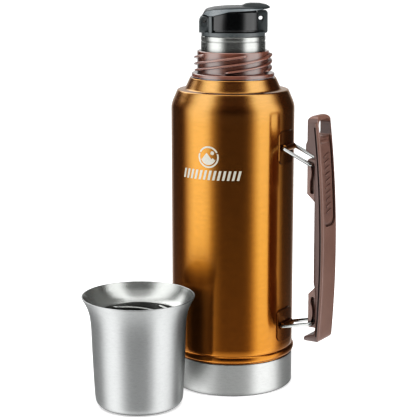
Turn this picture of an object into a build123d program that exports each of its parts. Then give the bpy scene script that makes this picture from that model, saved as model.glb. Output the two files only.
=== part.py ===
"""Double-wall steel growler with a folding wire-bail handle, a flip-lid screw stopper and a
flared steel cup that doubles as its screw-on cover.

Millimetres. +Z is up, the flask stands on Z = 0 with its axis on Z, and the handle is on +X.
The flip lid's hinge-to-tab direction is turned from the handle by LID_TURN.
"""
from build123d import *
from math import acos, cos, hypot, radians, sin
import os

os.makedirs("parts", exist_ok=True)

# ---------------------------------------------------------------- driving dimensions
# flask
BODY_R = 50.0          # outside radius of the painted body
SHELL_T = 1.2          # outer shell wall
BASE_H = 26.6          # bare steel base cup
BEAD_R = 51.3          # rolled bead above the base cup
BEAD_Z = 30.6
SHOULDER_Z = 229.0     # body starts to turn in
LEDGE_Z = 243.6        # outer edge of the ledge the cup's rim lands on
LEDGE_R = 45.3
CONE_LOW_R = 38.8
CONE_TOP_R = 34.6
CONE_TOP_Z = 254.0
LINER_R = 46.6         # outside radius of the inner flask
LINER_T = 1.0
NECK_R = 26.1          # outside radius of the bare neck
NECK_BORE = 24.9
NECK_TOP = 287.2
LINER_FLOOR = 9.0

# collar with the cup's outside thread
COLLAR_ROOT_R = 29.0
COLLAR_CREST_R = 31.65
COLLAR_TOP = 275.5
FLANGE_R = 33.5
FLANGE_H = 3.0
GASKET_T = 0.8
CUP_STARTS = 5         # thread starts shared by the collar and the cup
CUP_LEAD = 26.5

# stopper thread, shared by the neck and the plug
STOP_STARTS = 2
STOP_LEAD = 8.0
STOP_Z0 = 268.6
STOP_TURNS = 1.0
PLUG_R = 22.9
PLUG_BOTTOM = 262.0
CORE_R = 21.3          # foam core inside the plug

# stopper head and lid, in the lid's own U (hinge to tab) and V directions
LID_TURN = 32.0
HEAD_R = 25.6
PANEL_R = 24.9
FLANGE_TOP = 290.6      # top of the stopper's seat flange
DECK_Z = 302.4         # drinking deck under the lid
HINGE_U, HINGE_Z = -23.0, 299.0
PIN_R = 1.2
EYE_U, EYE_Z, EYE_R = 21.8, 301.4, 1.6
LUG_HALF = 4.2
EAR_IN, EAR_OUT = 6.8, 10.8
TOP_CUT_L, TOP_CUT_R = -17.0, 18.9
SPOUT_U, SPOUT_R, SPOUT_T = 11.0, 5.0, 0.9
VENT_U, VENT_R = -9.0, 1.6
LID_R = 25.3
TAB_HALF = 9.0

# handle
BAIL_R = 1.5           # wire radius
BAIL_HALF = 10.0       # leg centre from the middle plane
PIVOT_X = 52.0
UP_PIVOT_Z, UP_TIP_X, UP_TIP_Z = 201.0, 77.5, 190.0
LO_PIVOT_Z, LO_TIP_X, LO_TIP_Z = 55.0, 79.5, 61.5
FOLD = 12.0            # how far the grip moves towards the body when folded
GRIP_HALF = 12.0
RAIL_HALF = 8.0
WEB_HALF = 4.8
RUN = 0.28             # running clearance of the wire in its slots
SLAB_D = 1.8           # back slab let into the grip
RECESS_D = 1.9         # face recess that holds the insert
SCREW_Z = [106.0, 140.0]
SCREW_R, SCREW_HEAD_R, SCREW_HEAD_H, SCREW_L = 1.4, 2.6, 1.2, 5.6
SCREW_X = 81.6

# cup
CUP_X, CUP_Y = -29.7, -94.0
CUP_H = 89.0


def ring_profile(points):
    """Closed radius-height polygon ready to be revolved about Z."""
    with BuildSketch(Plane.XZ) as section:
        with BuildLine():
            Polyline(points, close=True)
        make_face()
    return section.sketch


def helix_ridges(root_r, crest_r, z_low, rise, lead, starts, foot, top, first=0.0):
    """Multi-start trapezoid ridges between two radii; crest_r may lie inside root_r."""
    sink = 0.4 if root_r < crest_r else -0.4
    ridges = []
    for start in range(starts):
        with BuildPart() as ridge:
            with BuildLine() as path:
                Helix(pitch=lead, height=rise, radius=root_r)
            with BuildSketch(Plane(origin=path.line @ 0, x_dir=(1, 0, 0), z_dir=(path.line % 0))):
                with BuildLine():
                    Polyline(
                        (-sink, -foot / 2), (crest_r - root_r, -top / 2),
                        (crest_r - root_r, top / 2), (-sink, foot / 2), close=True)
                make_face()
            sweep(path=path.line, is_frenet=True)
        spin = first + 360.0 * start / starts
        ridges.append(Pos(0, 0, z_low) * Rot(0, 0, spin) * ridge.part)
    return ridges


def to_lid(shape):
    """Turn a shape drawn with U on X and V on Y into its place on the flask."""
    return Rot(0, 0, LID_TURN) * shape


# ---------------------------------------------------------------- outer shell
SHELL_OUT = [
    (BODY_R - 0.1, 27.2), (BODY_R - 0.1, 27.8), (BEAD_R - 0.3, 28.7), (BEAD_R, BEAD_Z),
    (BEAD_R - 0.3, 32.4), (BODY_R - 0.3, 33.4), (BODY_R - 0.3, 33.9), (BODY_R, 34.5),
    (BODY_R, SHOULDER_Z), (49.85, 231.4), (49.35, 233.6), (48.45, 236.2), (47.3, 238.9),
    (45.9, 242.2), (LEDGE_R, LEDGE_Z), (44.6, 244.2), (43.6, 244.5), (39.6, 244.8),
    (CONE_LOW_R, 245.4), (36.7, 249.6), (35.2, 253.0), (CONE_TOP_R, CONE_TOP_Z)]
SHELL_IN = [
    (NECK_R, CONE_TOP_Z), (NECK_R, CONE_TOP_Z - SHELL_T), (33.6, CONE_TOP_Z - SHELL_T),
    (37.6, 243.9), (38.9, 243.4), (43.7, 243.2), (44.7, 241.9), (46.2, 238.4),
    (47.3, 235.6), (48.3, 232.6), (48.8, SHOULDER_Z - 1), (48.8, 27.2)]

with BuildPart() as outer_shell:
    add(ring_profile(SHELL_OUT + SHELL_IN))
    revolve(axis=Axis.Z)

# ---------------------------------------------------------------- base cup and its small parts
with BuildPart() as base_cup:
    add(ring_profile([
        (0, 1.6), (43.5, 1.6), (45.0, 0.3), (45.6, 0), (48.4, 0), (49.6, 0.5), (BODY_R, 1.5),
        (BODY_R, BASE_H - 0.6), (BODY_R - 0.5, BASE_H), (48.8, BASE_H), (48.8, 34.0), (47.6, 34.0),
        (47.6, 3.6), (46.6, 2.8), (0, 2.8)]))
    revolve(axis=Axis.Z)
    with Locations((0, 0, 2.2)):
        Cylinder(2.5, 4, mode=Mode.SUBTRACT)

with BuildPart() as vacuum_plug:
    add(ring_profile([(0, 0.7), (6.4, 0.7), (7.0, 1.1), (7.0, 1.6), (2.5, 1.6), (2.5, 2.8), (0, 2.8)]))
    revolve(axis=Axis.Z)

with BuildPart() as getter_puck:
    with Locations((30, 0, 4.2)):
        Cylinder(7.5, 2.8)
    fillet(edges().group_by(Axis.Z)[-1], 0.8)

# ---------------------------------------------------------------- inner flask and neck
LINER_OUT = [
    (0, LINER_FLOOR), (34.0, LINER_FLOOR), (41.0, 10.2), (45.2, 13.6), (LINER_R, 18.0),
    (LINER_R, 222.0), (45.9, 228.0), (43.6, 233.4), (39.6, 237.8), (34.0, 241.4), (29.0, 244.6),
    (26.8, 248.2), (NECK_R, 252.0), (NECK_R, 282.6), (25.8, 283.0), (25.8, 283.6),
    (NECK_R, 284.0), (NECK_R, NECK_TOP - 0.5), (25.8, NECK_TOP)]
LINER_IN = [
    (25.1, NECK_TOP), (NECK_BORE, NECK_TOP - 0.4), (NECK_BORE, 252.0), (25.6, 247.8),
    (28.1, 243.8), (33.4, 240.4), (39.0, 236.9), (42.8, 232.7), (44.9, 227.6),
    (LINER_R - LINER_T, 222.0), (LINER_R - LINER_T, 18.2), (44.3, 14.2), (40.6, 11.2),
    (34.0, 10.0), (0, 10.0)]

with BuildPart() as inner_flask:
    add(ring_profile(LINER_OUT + LINER_IN))
    revolve(axis=Axis.Z)
    add(helix_ridges(NECK_BORE, 23.45, STOP_Z0, STOP_LEAD * STOP_TURNS, STOP_LEAD, STOP_STARTS, 1.5, 0.8))

# ---------------------------------------------------------------- collar with five-start thread
FLANGE_Z = CONE_TOP_Z + GASKET_T

with BuildPart() as thread_collar:
    add(ring_profile([
        (NECK_R, FLANGE_Z), (FLANGE_R - 0.3, FLANGE_Z), (FLANGE_R, FLANGE_Z + 0.4),
        (FLANGE_R, FLANGE_Z + FLANGE_H - 0.6), (FLANGE_R - 0.6, FLANGE_Z + FLANGE_H),
        (COLLAR_ROOT_R + 0.4, FLANGE_Z + FLANGE_H), (COLLAR_ROOT_R, FLANGE_Z + FLANGE_H + 0.4),
        (COLLAR_ROOT_R, COLLAR_TOP - 0.5), (COLLAR_ROOT_R - 0.5, COLLAR_TOP), (NECK_R, COLLAR_TOP)]))
    revolve(axis=Axis.Z)
    add(helix_ridges(COLLAR_ROOT_R, COLLAR_CREST_R, 259.7, 13.2, CUP_LEAD, CUP_STARTS, 2.5, 1.0, first=-72))

with BuildPart() as collar_gasket:
    add(ring_profile([
        (NECK_R + 0.6, CONE_TOP_Z), (33.0, CONE_TOP_Z), (33.0, FLANGE_Z), (NECK_R + 0.6, FLANGE_Z)]))
    revolve(axis=Axis.Z)


# ---------------------------------------------------------------- welded bail brackets
def bail_bracket(pivot_z):
    """Saddle plate that hugs the body, with a hump that traps the bail's cross bar."""
    plate_half, plate_up, plate_t = 11.0, 13.0, 1.0
    hump_half, hump_in = 7.8, BAIL_R + 0.08
    hump_out = hump_in + plate_t
    with BuildPart() as hump:
        with BuildSketch(Plane.XZ.offset(-hump_half)):
            with Locations((PIVOT_X, pivot_z)):
                Circle(hump_out)
            with Locations((PIVOT_X - 2, pivot_z)):
                Rectangle(4.0, 2 * hump_out)
            with Locations((PIVOT_X, pivot_z)):
                Circle(hump_in, mode=Mode.SUBTRACT)
            with Locations((PIVOT_X - 3, pivot_z)):
                Rectangle(6.0, 2 * hump_in, mode=Mode.SUBTRACT)
        extrude(amount=2 * hump_half)
        with Locations((0, 0, pivot_z)):
            Cylinder(BODY_R + plate_t / 2, 40, mode=Mode.SUBTRACT)
    with BuildPart() as plate:
        with BuildSketch(Plane.XY.offset(pivot_z - plate_up - 5)):
            Circle(BODY_R + plate_t)
            Circle(BODY_R, mode=Mode.SUBTRACT)
        extrude(amount=2 * plate_up + 10)
        with BuildSketch(Plane.YZ.offset(40)):
            with Locations((0, pivot_z)):
                RectangleRounded(2 * plate_half, 2 * plate_up, 4.0)
                Rectangle(2 * hump_half - 0.02, 2 * hump_in, mode=Mode.SUBTRACT)
        extrude(amount=20, mode=Mode.INTERSECT)
        add(hump.part)
    return plate.part


with BuildPart() as upper_bracket:
    add(bail_bracket(UP_PIVOT_Z))

with BuildPart() as lower_bracket:
    add(bail_bracket(LO_PIVOT_Z))


# ---------------------------------------------------------------- wire bails
def wire_bail(pivot_z, tip_x, tip_z):
    """Round wire: cross bar in the bracket, two legs, and inward tips that ride in the grip."""
    half, bend, tip_in = BAIL_HALF, 1.7, WEB_HALF + 0.5
    reach = hypot(tip_x - PIVOT_X, tip_z - pivot_z)
    along = Vector((tip_x - PIVOT_X) / reach, 0, (tip_z - pivot_z) / reach)
    across_wire = along.cross(Vector(0, 1, 0))
    with BuildPart() as wire:
        with BuildLine(Plane(origin=(PIVOT_X, 0, pivot_z), x_dir=along, z_dir=across_wire)) as path:
            FilletPolyline((reach, tip_in), (reach, half), (0, half), (0, -half), (reach, -half),
                           (reach, -tip_in), radius=bend)
        with BuildSketch(Plane(origin=path.line @ 0, z_dir=path.line % 0)):
            Circle(BAIL_R)
        sweep()
    return wire.part


with BuildPart() as upper_bail:
    add(wire_bail(UP_PIVOT_Z, UP_TIP_X, UP_TIP_Z))

with BuildPart() as lower_bail:
    add(wire_bail(LO_PIVOT_Z, LO_TIP_X, LO_TIP_Z))


# ---------------------------------------------------------------- grip
def tip_path(pivot_z, tip_x, tip_z):
    """Bail tip in the grip's frame at the start, middle and end of the fold."""
    reach = hypot(tip_x - PIVOT_X, tip_z - pivot_z)
    side = 1 if tip_z > pivot_z else -1
    open_a = acos((tip_x - PIVOT_X) / reach)
    shut_a = acos((tip_x - PIVOT_X - FOLD) / reach)
    spots = []
    for part in (0.0, 0.5, 1.0):
        angle = open_a + part * (shut_a - open_a)
        spots.append((PIVOT_X + reach * cos(angle) + part * FOLD, pivot_z + side * reach * sin(angle)))
    return spots


def slot_cut(path, far_z):
    """Both side slots of one rail: the bowed run of the tip and a straight tail to far_z."""
    width = 2 * (BAIL_R + RUN)
    with BuildPart() as cut:
        for side in (1, -1):
            with BuildSketch(Plane.XZ.offset(-side * (WEB_HALF + RAIL_HALF + 1) / 2)):
                with BuildLine(mode=Mode.PRIVATE) as run:
                    ThreePointArc(path[0], path[1], path[2])
                SlotArc(run.edge(), width)
                with Locations((path[2][0], (path[2][1] + far_z) / 2)):
                    SlotOverall(width + abs(far_z - path[2][1]), width, rotation=90)
            extrude(amount=(RAIL_HALF + 1 - WEB_HALF) / 2, both=True)
    return cut.part


FACE_TOP, FACE_MID, FACE_LOW = (82.7, 228.8), (90.1, 122.0), (87.2, 46.6)
BACK_LINE = [(83.3, 57.0), (83.3, 88.0), (81.5, 96.0), (81.0, 195.5)]
GRIP_OUTLINE = [
    # point, corner radius, going from the face's foot round the inner side to its top
    (FACE_LOW, 5.5), ((73.4, 46.6), 1.8), ((73.4, 50.8), 1.8), ((83.3, 53.6), 3.5),
    ((83.3, 88.0), 8.0), ((81.5, 96.0), 8.0), ((81.0, 197.2), 2.5), ((73.0, 201.2), 1.8),
    ((73.0, 206.4), 1.8), ((74.2, 209.0), 1.2), ((74.2, 228.8), 4.2), (FACE_TOP, 4.6)]


def shifted(point, inset):
    """A face point moved inwards along X."""
    return (point[0] - inset, point[1])


def face_band(inset_a, inset_b):
    """Full-width slab between two depths below the grip's outer face."""
    with BuildPart() as band:
        with BuildSketch(Plane.XZ.offset(-GRIP_HALF)):
            with BuildLine():
                for inset in (inset_a, inset_b):
                    ThreePointArc(*[shifted(point, inset) for point in (FACE_TOP, FACE_MID, FACE_LOW)])
                Line(shifted(FACE_TOP, inset_a), shifted(FACE_TOP, inset_b))
                Line(shifted(FACE_LOW, inset_a), shifted(FACE_LOW, inset_b))
            make_face()
        extrude(amount=2 * GRIP_HALF)
    return band.part


def across(width, low_z, high_z, corner, x_from=60.0, x_to=100.0):
    """Rounded-corner prism along X, centred on the middle plane."""
    with BuildPart() as prism:
        with BuildSketch(Plane.YZ.offset(x_from)):
            with Locations((0, (low_z + high_z) / 2)):
                RectangleRounded(width, high_z - low_z, corner)
        extrude(amount=x_to - x_from)
    return prism.part


def back_slab(depth, proud=0.0):
    """Slab let into the grip's inner side; proud extends it out of the pocket."""
    front = [(x - proud, z) for x, z in BACK_LINE]
    rear = [(x + depth, z) for x, z in reversed(BACK_LINE)]
    with BuildPart() as slab:
        with BuildSketch(Plane.XZ.offset(-GRIP_HALF)):
            with BuildLine():
                Polyline(front + rear, close=True)
            make_face()
        extrude(amount=2 * GRIP_HALF)
        add(across(2 * RAIL_HALF, 57.6, 194.6, 2.0), mode=Mode.INTERSECT)
    return slab.part


with BuildPart() as grip_body:
    with BuildSketch(Plane.XZ.offset(-GRIP_HALF)) as outline:
        with BuildLine():
            Polyline([point for point, _ in GRIP_OUTLINE])
            ThreePointArc(FACE_TOP, FACE_MID, FACE_LOW)
        make_face()
        for point, radius in GRIP_OUTLINE:
            corner = outline.vertices().sort_by(lambda v: abs(v.X - point[0]) + abs(v.Y - point[1]))[0]
            fillet(corner, radius)
    extrude(amount=2 * GRIP_HALF)
    fillet(faces().filter_by(Axis.Y).edges(), 1.7)
    # face recess, hanging slot, rear pocket and screw holes
    add(across(19.0, 141.0, 225.6, 6.0) & face_band(RECESS_D, -6.0), mode=Mode.SUBTRACT)
    add(across(19.0, 210.6, 225.6, 4.5), mode=Mode.SUBTRACT)
    add(back_slab(SLAB_D, 1.0), mode=Mode.SUBTRACT)
    for screw_z in SCREW_Z:
        with Locations(Location((SCREW_X + SCREW_L / 2, 0, screw_z), (0, 90, 0))):
            Cylinder(SCREW_R, SCREW_L, mode=Mode.SUBTRACT)

with BuildPart() as grip_insert:
    add(across(16.6, 142.2, 209.6, 5.0) & face_band(RECESS_D - 1.3, RECESS_D))
    with Locations(Location((82.6, 0, 207.6), (90, 0, 0))):
        Cylinder(1.9, 13.0)
    add(across(40.0, 120.0, 215.0, 1.0) & face_band(RECESS_D - 1.9, RECESS_D), mode=Mode.INTERSECT)


def rail(points, path, slot_end):
    """Raised rail on the grip's inner side with a slot in each flank for a bail's tips."""
    with BuildPart() as block:
        with BuildSketch(Plane.XZ.offset(-RAIL_HALF)):
            with BuildLine():
                Polyline(points, close=True)
            make_face()
        extrude(amount=2 * RAIL_HALF)
        fillet(faces().filter_by(Axis.Y).edges().filter_by(lambda e: e.center().X < points[-1][0] - 2.0), 0.8)
        add(slot_cut(path, slot_end), mode=Mode.SUBTRACT)
    return block.part


UP_PATH = tip_path(UP_PIVOT_Z, UP_TIP_X, UP_TIP_Z)
LO_PATH = tip_path(LO_PIVOT_Z, LO_TIP_X, LO_TIP_Z)

with BuildPart() as grip_back:
    add(back_slab(SLAB_D))
    add(rail([(81.6, 194.6), (74.0, 194.6), (72.8, 193.0), (72.8, 166.5), (81.6, 158.6)], UP_PATH, 168.4))
    add(rail([(83.8, 57.6), (76.4, 57.6), (75.2, 58.8), (75.2, 85.4), (82.4, 92.8), (83.8, 92.8)],
             LO_PATH, 81.6))
    add(across(2 * RAIL_HALF, 57.6, 194.6, 2.0), mode=Mode.INTERSECT)
    for screw_z in SCREW_Z:
        with Locations(Location((SCREW_X + SCREW_L / 2, 0, screw_z), (0, 90, 0))):
            Cylinder(SCREW_R, SCREW_L, mode=Mode.SUBTRACT)
        with Locations(Location((SCREW_X + SCREW_HEAD_H / 2, 0, screw_z), (0, 90, 0))):
            Cylinder(SCREW_HEAD_R, SCREW_HEAD_H, mode=Mode.SUBTRACT)

with BuildPart() as grip_screws:
    for screw_z in SCREW_Z:
        with Locations(Location((SCREW_X + SCREW_L / 2, 0, screw_z), (0, 90, 0))):
            Cylinder(SCREW_R, SCREW_L)
        with Locations(Location((SCREW_X + SCREW_HEAD_H / 2, 0, screw_z), (0, 90, 0))):
            Cylinder(SCREW_HEAD_R, SCREW_HEAD_H)
        with Locations((SCREW_X + 0.4, 0, screw_z)):
            Box(0.8, 3.8, 0.8, mode=Mode.SUBTRACT)
            Box(0.8, 0.8, 3.8, mode=Mode.SUBTRACT)


# ---------------------------------------------------------------- stopper
def head_side(points, half):
    """Prism across the lid direction from a (U, Z) outline."""
    with BuildPart() as prism:
        with BuildSketch(Plane.XZ.offset(-half)):
            with BuildLine():
                Polyline(points, close=True)
            make_face()
        extrude(amount=2 * half)
    return prism.part


FLANGE_LOW = NECK_TOP + 0.3
GASKET_TOP = NECK_TOP + 0.8

with BuildPart() as plug:
    # threaded cup that holds the core
    add(ring_profile([
        (0, PLUG_BOTTOM), (PLUG_R - 1.0, PLUG_BOTTOM), (PLUG_R, PLUG_BOTTOM + 1.0), (PLUG_R, GASKET_TOP),
        (CORE_R, GASKET_TOP), (CORE_R, PLUG_BOTTOM + 1.8), (0, PLUG_BOTTOM + 1.8)]))
    revolve(axis=Axis.Z)
    add(helix_ridges(PLUG_R, 24.35, STOP_Z0 - 2.0, STOP_LEAD * STOP_TURNS, STOP_LEAD, STOP_STARTS, 1.5, 0.8))
    with Locations((SPOUT_U, 0, PLUG_BOTTOM + 0.9)):
        Cylinder(SPOUT_R, 2.0, mode=Mode.SUBTRACT)
    with Locations((VENT_U, 0, PLUG_BOTTOM + 0.9)):
        Cylinder(VENT_R, 2.0, mode=Mode.SUBTRACT)

with BuildPart() as stopper_plug:
    add(to_lid(plug.part))

with BuildPart() as stopper_head:
    # seat flange with its gasket groove
    add(ring_profile([
        (CORE_R, GASKET_TOP), (25.4, GASKET_TOP), (25.4, FLANGE_LOW), (HEAD_R, FLANGE_LOW),
        (HEAD_R, FLANGE_TOP), (CORE_R, FLANGE_TOP)]))
    revolve(axis=Axis.Z)
    # side posts of the frame around the gloss drum
    for side in (1, -1):
        with BuildSketch(Plane.XY.offset(FLANGE_TOP - 0.2)):
            Circle(HEAD_R)
            Circle(22.4, mode=Mode.SUBTRACT)
            with BuildLine(mode=Mode.PRIVATE) as wedge:
                Polyline((0, 0), (-40 * sin(radians(39)), -40 * side * cos(radians(39))),
                         (-40 * sin(radians(47)), -40 * side * cos(radians(47))), close=True)
            make_face(wedge.edges(), mode=Mode.INTERSECT)
        extrude(amount=12.6)
    # hinge ears
    for side in (1, -1):
        with BuildSketch(Plane.XZ.offset(-side * (EAR_IN + EAR_OUT) / 2)):
            with Locations((HINGE_U, HINGE_Z)):
                Circle(4.4)
            with Locations((HINGE_U, (HINGE_Z + FLANGE_TOP - 0.6) / 2)):
                Rectangle(8.8, HINGE_Z - FLANGE_TOP + 0.6)
        extrude(amount=(EAR_OUT - EAR_IN) / 2, both=True)
        with Locations(Location((HINGE_U, side * (EAR_IN + EAR_OUT) / 2, HINGE_Z), (90, 0, 0))):
            Cylinder(PIN_R, EAR_OUT - EAR_IN, mode=Mode.SUBTRACT)
        with BuildSketch(Plane.XZ.offset(-side * (EAR_OUT - 0.6))):
            with Locations((HINGE_U, HINGE_Z - 0.6)):
                SlotOverall(8.0, 5.0, rotation=90)
        extrude(amount=-side * 1.2, mode=Mode.SUBTRACT)
    # eye lug on the tab side
    with BuildSketch(Plane.XZ.offset(-LUG_HALF)):
        with Locations((23.3, 298.5)):
            RectangleRounded(8.4, 18.0, 2.2)
        with Locations((EYE_U, EYE_Z)):
            Circle(EYE_R, mode=Mode.SUBTRACT)
    extrude(amount=2 * LUG_HALF)

with BuildPart() as stopper_frame:
    add(to_lid(stopper_head.part))

with BuildPart() as drum:
    add(ring_profile([
        (0, DECK_Z - 1.6), (22.6, DECK_Z - 1.6), (22.6, FLANGE_TOP), (PANEL_R, FLANGE_TOP),
        (PANEL_R, 306.6), (22.9, 306.6), (22.9, DECK_Z), (0, DECK_Z)]))
    revolve(axis=Axis.Z)
    add(head_side([(TOP_CUT_L, 280), (TOP_CUT_R, 280), (TOP_CUT_R, 320), (-3.5, 320), (-3.5, 306.6),
                   (TOP_CUT_L, 302.8)], 30), mode=Mode.INTERSECT)
    for side in (1, -1):
        with BuildSketch(Plane.XY.offset(280)):
            with BuildLine():
                Polyline((0, 0), (-40 * sin(radians(38.5)), -40 * side * cos(radians(38.5))),
                         (-40 * sin(radians(60)), -40 * side * cos(radians(60))), close=True)
            make_face()
            Circle(22.3, mode=Mode.SUBTRACT)
        extrude(amount=40, mode=Mode.SUBTRACT)
    with Locations((SPOUT_U, 0, DECK_Z - 0.8)):
        Cylinder(SPOUT_R, 4.0, mode=Mode.SUBTRACT)
    with Locations((VENT_U, 0, DECK_Z - 0.8)):
        Cylinder(VENT_R, 4.0, mode=Mode.SUBTRACT)

with BuildPart() as stopper_top:
    add(to_lid(drum.part))

with BuildPart() as tube:
    with Locations((SPOUT_U, 0, (PLUG_BOTTOM + DECK_Z) / 2)):
        Cylinder(SPOUT_R, DECK_Z - PLUG_BOTTOM)
        Cylinder(SPOUT_R - SPOUT_T, DECK_Z - PLUG_BOTTOM, mode=Mode.SUBTRACT)

with BuildPart() as spout_tube:
    add(to_lid(tube.part))

with BuildPart() as core:
    with Locations((0, 0, PLUG_BOTTOM + 1.8)):
        Cylinder(18.4, DECK_Z - 1.6 - PLUG_BOTTOM - 1.8, align=(Align.CENTER, Align.CENTER, Align.MIN))
    with Locations((TOP_CUT_L + 0.4, 0, 280)):
        Box(60, 60, 60, align=(Align.MIN, Align.CENTER, Align.CENTER), mode=Mode.INTERSECT)
    with Locations((0, 0, PLUG_BOTTOM + 1.8)):
        Cylinder(CORE_R, 24.8, align=(Align.CENTER, Align.CENTER, Align.MIN))
    with Locations((SPOUT_U, 0, 280)):
        Cylinder(SPOUT_R, 60, mode=Mode.SUBTRACT)
    with Locations((VENT_U, 0, 280)):
        Cylinder(VENT_R, 60, mode=Mode.SUBTRACT)
    # parting line of the two moulded half-cores
    with Locations((0, 0, 280)):
        Box(60, 0.3, 60, mode=Mode.SUBTRACT)

with BuildPart() as stopper_core:
    add(to_lid(core.part))

with BuildPart() as stopper_gasket:
    add(ring_profile([(24.0, NECK_TOP + 0.02), (25.2, NECK_TOP + 0.02), (25.4, NECK_TOP + 0.25),
                      (25.4, GASKET_TOP - 0.02), (24.0, GASKET_TOP - 0.02)]))
    revolve(axis=Axis.Z)

with BuildPart() as pin:
    with Locations(Location((HINGE_U, 0, HINGE_Z), (90, 0, 0))):
        Cylinder(PIN_R, 2 * EAR_OUT - 1.4)

with BuildPart() as lid_pin:
    add(to_lid(pin.part))

# ---------------------------------------------------------------- flip lid
with BuildPart() as flap:
    # domed plate with a deep hinge end
    add(head_side([
        (-23.9, 302.8), (-22.8, 307.4), (-21.2, 308.9), (-15.0, 310.0), (-6.0, 310.8), (4.0, 311.1),
        (14.0, 310.9), (25.6, 310.0), (25.6, 308.2), (8.0, 307.4), (-3.3, 307.0), (-16.9, 303.2)], 26))
    with BuildSketch(Plane.XY.offset(280)):
        Circle(LID_R)
    extrude(amount=50, mode=Mode.INTERSECT)
    # raised thumb tab
    add(head_side([(5.5, 310.2), (6.5, 311.1), (10.5, 313.0), (14.0, 313.3), (21.5, 313.1), (26.5, 312.0),
                   (29.2, 310.3), (28.7, 309.5), (26.4, 308.8), (19.5, 308.2), (5.5, 308.2)], TAB_HALF))
    chosen = edges().filter_by(lambda e: e.center().Z > 311.6 and abs(abs(e.center().Y) - TAB_HALF) < 0.01)
    fillet(chosen, 1.0)
    # room over the deck, and clearance round the ears
    with BuildSketch(Plane.XY.offset(300)):
        Circle(21.5)
        with Locations((-30, 0)):
            Rectangle(28, 60, mode=Mode.SUBTRACT)
    extrude(amount=8.6, mode=Mode.SUBTRACT)
    for side in (1, -1):
        with Locations(Location((HINGE_U, side * (EAR_IN + 9.8), HINGE_Z), (90, 0, 0))):
            Cylinder(4.9, 20.0, mode=Mode.SUBTRACT)
    # hinge arm and knuckle
    with BuildSketch(Plane.XZ.offset(-EAR_IN + 0.35)):
        with Locations((HINGE_U, HINGE_Z)):
            Circle(3.4)
        with BuildLine():
            Polyline((HINGE_U - 3.3, HINGE_Z), (-24.6, 303.6), (-22.4, 307.4), (-18.6, 306.0), (-18.6, 303.4),
                     (HINGE_U + 3.3, HINGE_Z), close=True)
        make_face()
    extrude(amount=2 * (EAR_IN - 0.35))
    with Locations(Location((HINGE_U, 0, HINGE_Z), (90, 0, 0))):
        Cylinder(PIN_R + 0.06, 20.0, mode=Mode.SUBTRACT)

with BuildPart() as lid:
    add(to_lid(flap.part))

with BuildPart() as seal:
    with BuildSketch(Plane.XY.offset(DECK_Z + 0.05)):
        with Locations((SPOUT_U, 0)):
            Circle(6.6)
    extrude(amount=308.6 - DECK_Z - 0.05)
    fillet(edges().group_by(Axis.Z)[0], 0.8)

with BuildPart() as lid_seal:
    add(to_lid(seal.part))

# ---------------------------------------------------------------- flared cup
CUP_OUT = [
    (27.5, 0.2), (29.0, 0.0), (31.2, 0.6), (33.4, 2.2), (34.7, 4.4), (35.2, 7.5), (35.9, 21.0), (36.6, 38.0),
    (37.1, 52.0), (37.4, 62.0), (37.9, 69.0), (38.8, 74.8), (40.3, 79.8), (42.0, 83.6), (43.8, 86.8),
    (44.6, 87.8), (44.7, 88.5), (44.2, CUP_H), (43.6, 88.8)]
CUP_OUT_IN = [
    (42.9, 87.2), (41.1, 84.2), (39.3, 80.4), (37.8, 75.3), (36.9, 69.2), (36.4, 62.0), (36.1, 52.0),
    (35.6, 38.0), (34.9, 21.0), (34.2, 7.7), (33.8, 4.9), (32.9, 3.0), (31.0, 1.8), (27.5, 1.4)]
CUP_IN = [
    (43.6, 88.8), (42.3, 86.6), (40.0, 82.8), (36.6, 78.4), (34.0, 76.1), (32.4, 75.2), (32.1, 74.9),
    (32.1, 58.0), (31.4, 55.6), (30.9, 20.0), (29.8, 10.0), (26.5, 6.4), (20.0, 5.2), (0, 5.0)]
CUP_IN_OUT = [
    (0, 4.2), (20.2, 4.4), (27.0, 5.7), (30.5, 9.6), (31.7, 20.0), (32.2, 55.3), (32.9, 57.8),
    (32.9, 74.3), (34.4, 75.3), (36.9, 77.5), (40.2, 82.3), (41.1, 84.2), (42.9, 87.2)]


def cup_turn(points):
    """Revolve a profile on the cup's own axis."""
    with BuildPart() as turned:
        add(ring_profile(points))
        revolve(axis=Axis.Z)
    return Pos(CUP_X, CUP_Y, 0) * turned.part


with BuildPart() as cup_outer:
    add(cup_turn(CUP_OUT + CUP_OUT_IN))

with BuildPart() as cup_inner:
    add(cup_turn(CUP_IN + CUP_IN_OUT))

with BuildPart() as cup_base_disc:
    add(cup_turn([(0, 0.8), (24.0, 0.8), (26.4, 0.3), (27.5, 0.2), (27.5, 1.4), (24.0, 1.8), (0, 1.8)]))

with BuildPart() as sleeve:
    add(ring_profile([(32.1, 58.4), (32.1, 74.9), (31.9, 75.1), (31.4, 74.9), (31.4, 58.8)]))
    revolve(axis=Axis.Z)
    add(helix_ridges(31.4, 29.7, 60.6, 12.2, CUP_LEAD, CUP_STARTS, 2.0, 1.0))

with BuildPart() as cup_thread:
    add(Pos(CUP_X, CUP_Y, 0) * sleeve.part)

# ---------------------------------------------------------------- export
NODES = {
    "outer_shell": outer_shell, "base_cup": base_cup, "vacuum_plug": vacuum_plug,
    "getter_puck": getter_puck, "inner_flask": inner_flask, "thread_collar": thread_collar,
    "collar_gasket": collar_gasket, "upper_bracket": upper_bracket, "lower_bracket": lower_bracket,
    "upper_bail": upper_bail, "lower_bail": lower_bail, "grip_body": grip_body,
    "grip_back": grip_back, "grip_insert": grip_insert, "grip_screws": grip_screws,
    "stopper_plug": stopper_plug, "stopper_frame": stopper_frame, "stopper_top": stopper_top,
    "stopper_core": stopper_core,
    "spout_tube": spout_tube, "stopper_gasket": stopper_gasket, "lid_pin": lid_pin,
    "lid": lid, "lid_seal": lid_seal, "cup_outer": cup_outer, "cup_inner": cup_inner,
    "cup_thread": cup_thread, "cup_base_disc": cup_base_disc}

for node_name, builder in NODES.items():
    builder.part.label = node_name
    export_step(builder.part, "parts/" + node_name + ".step")
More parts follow.
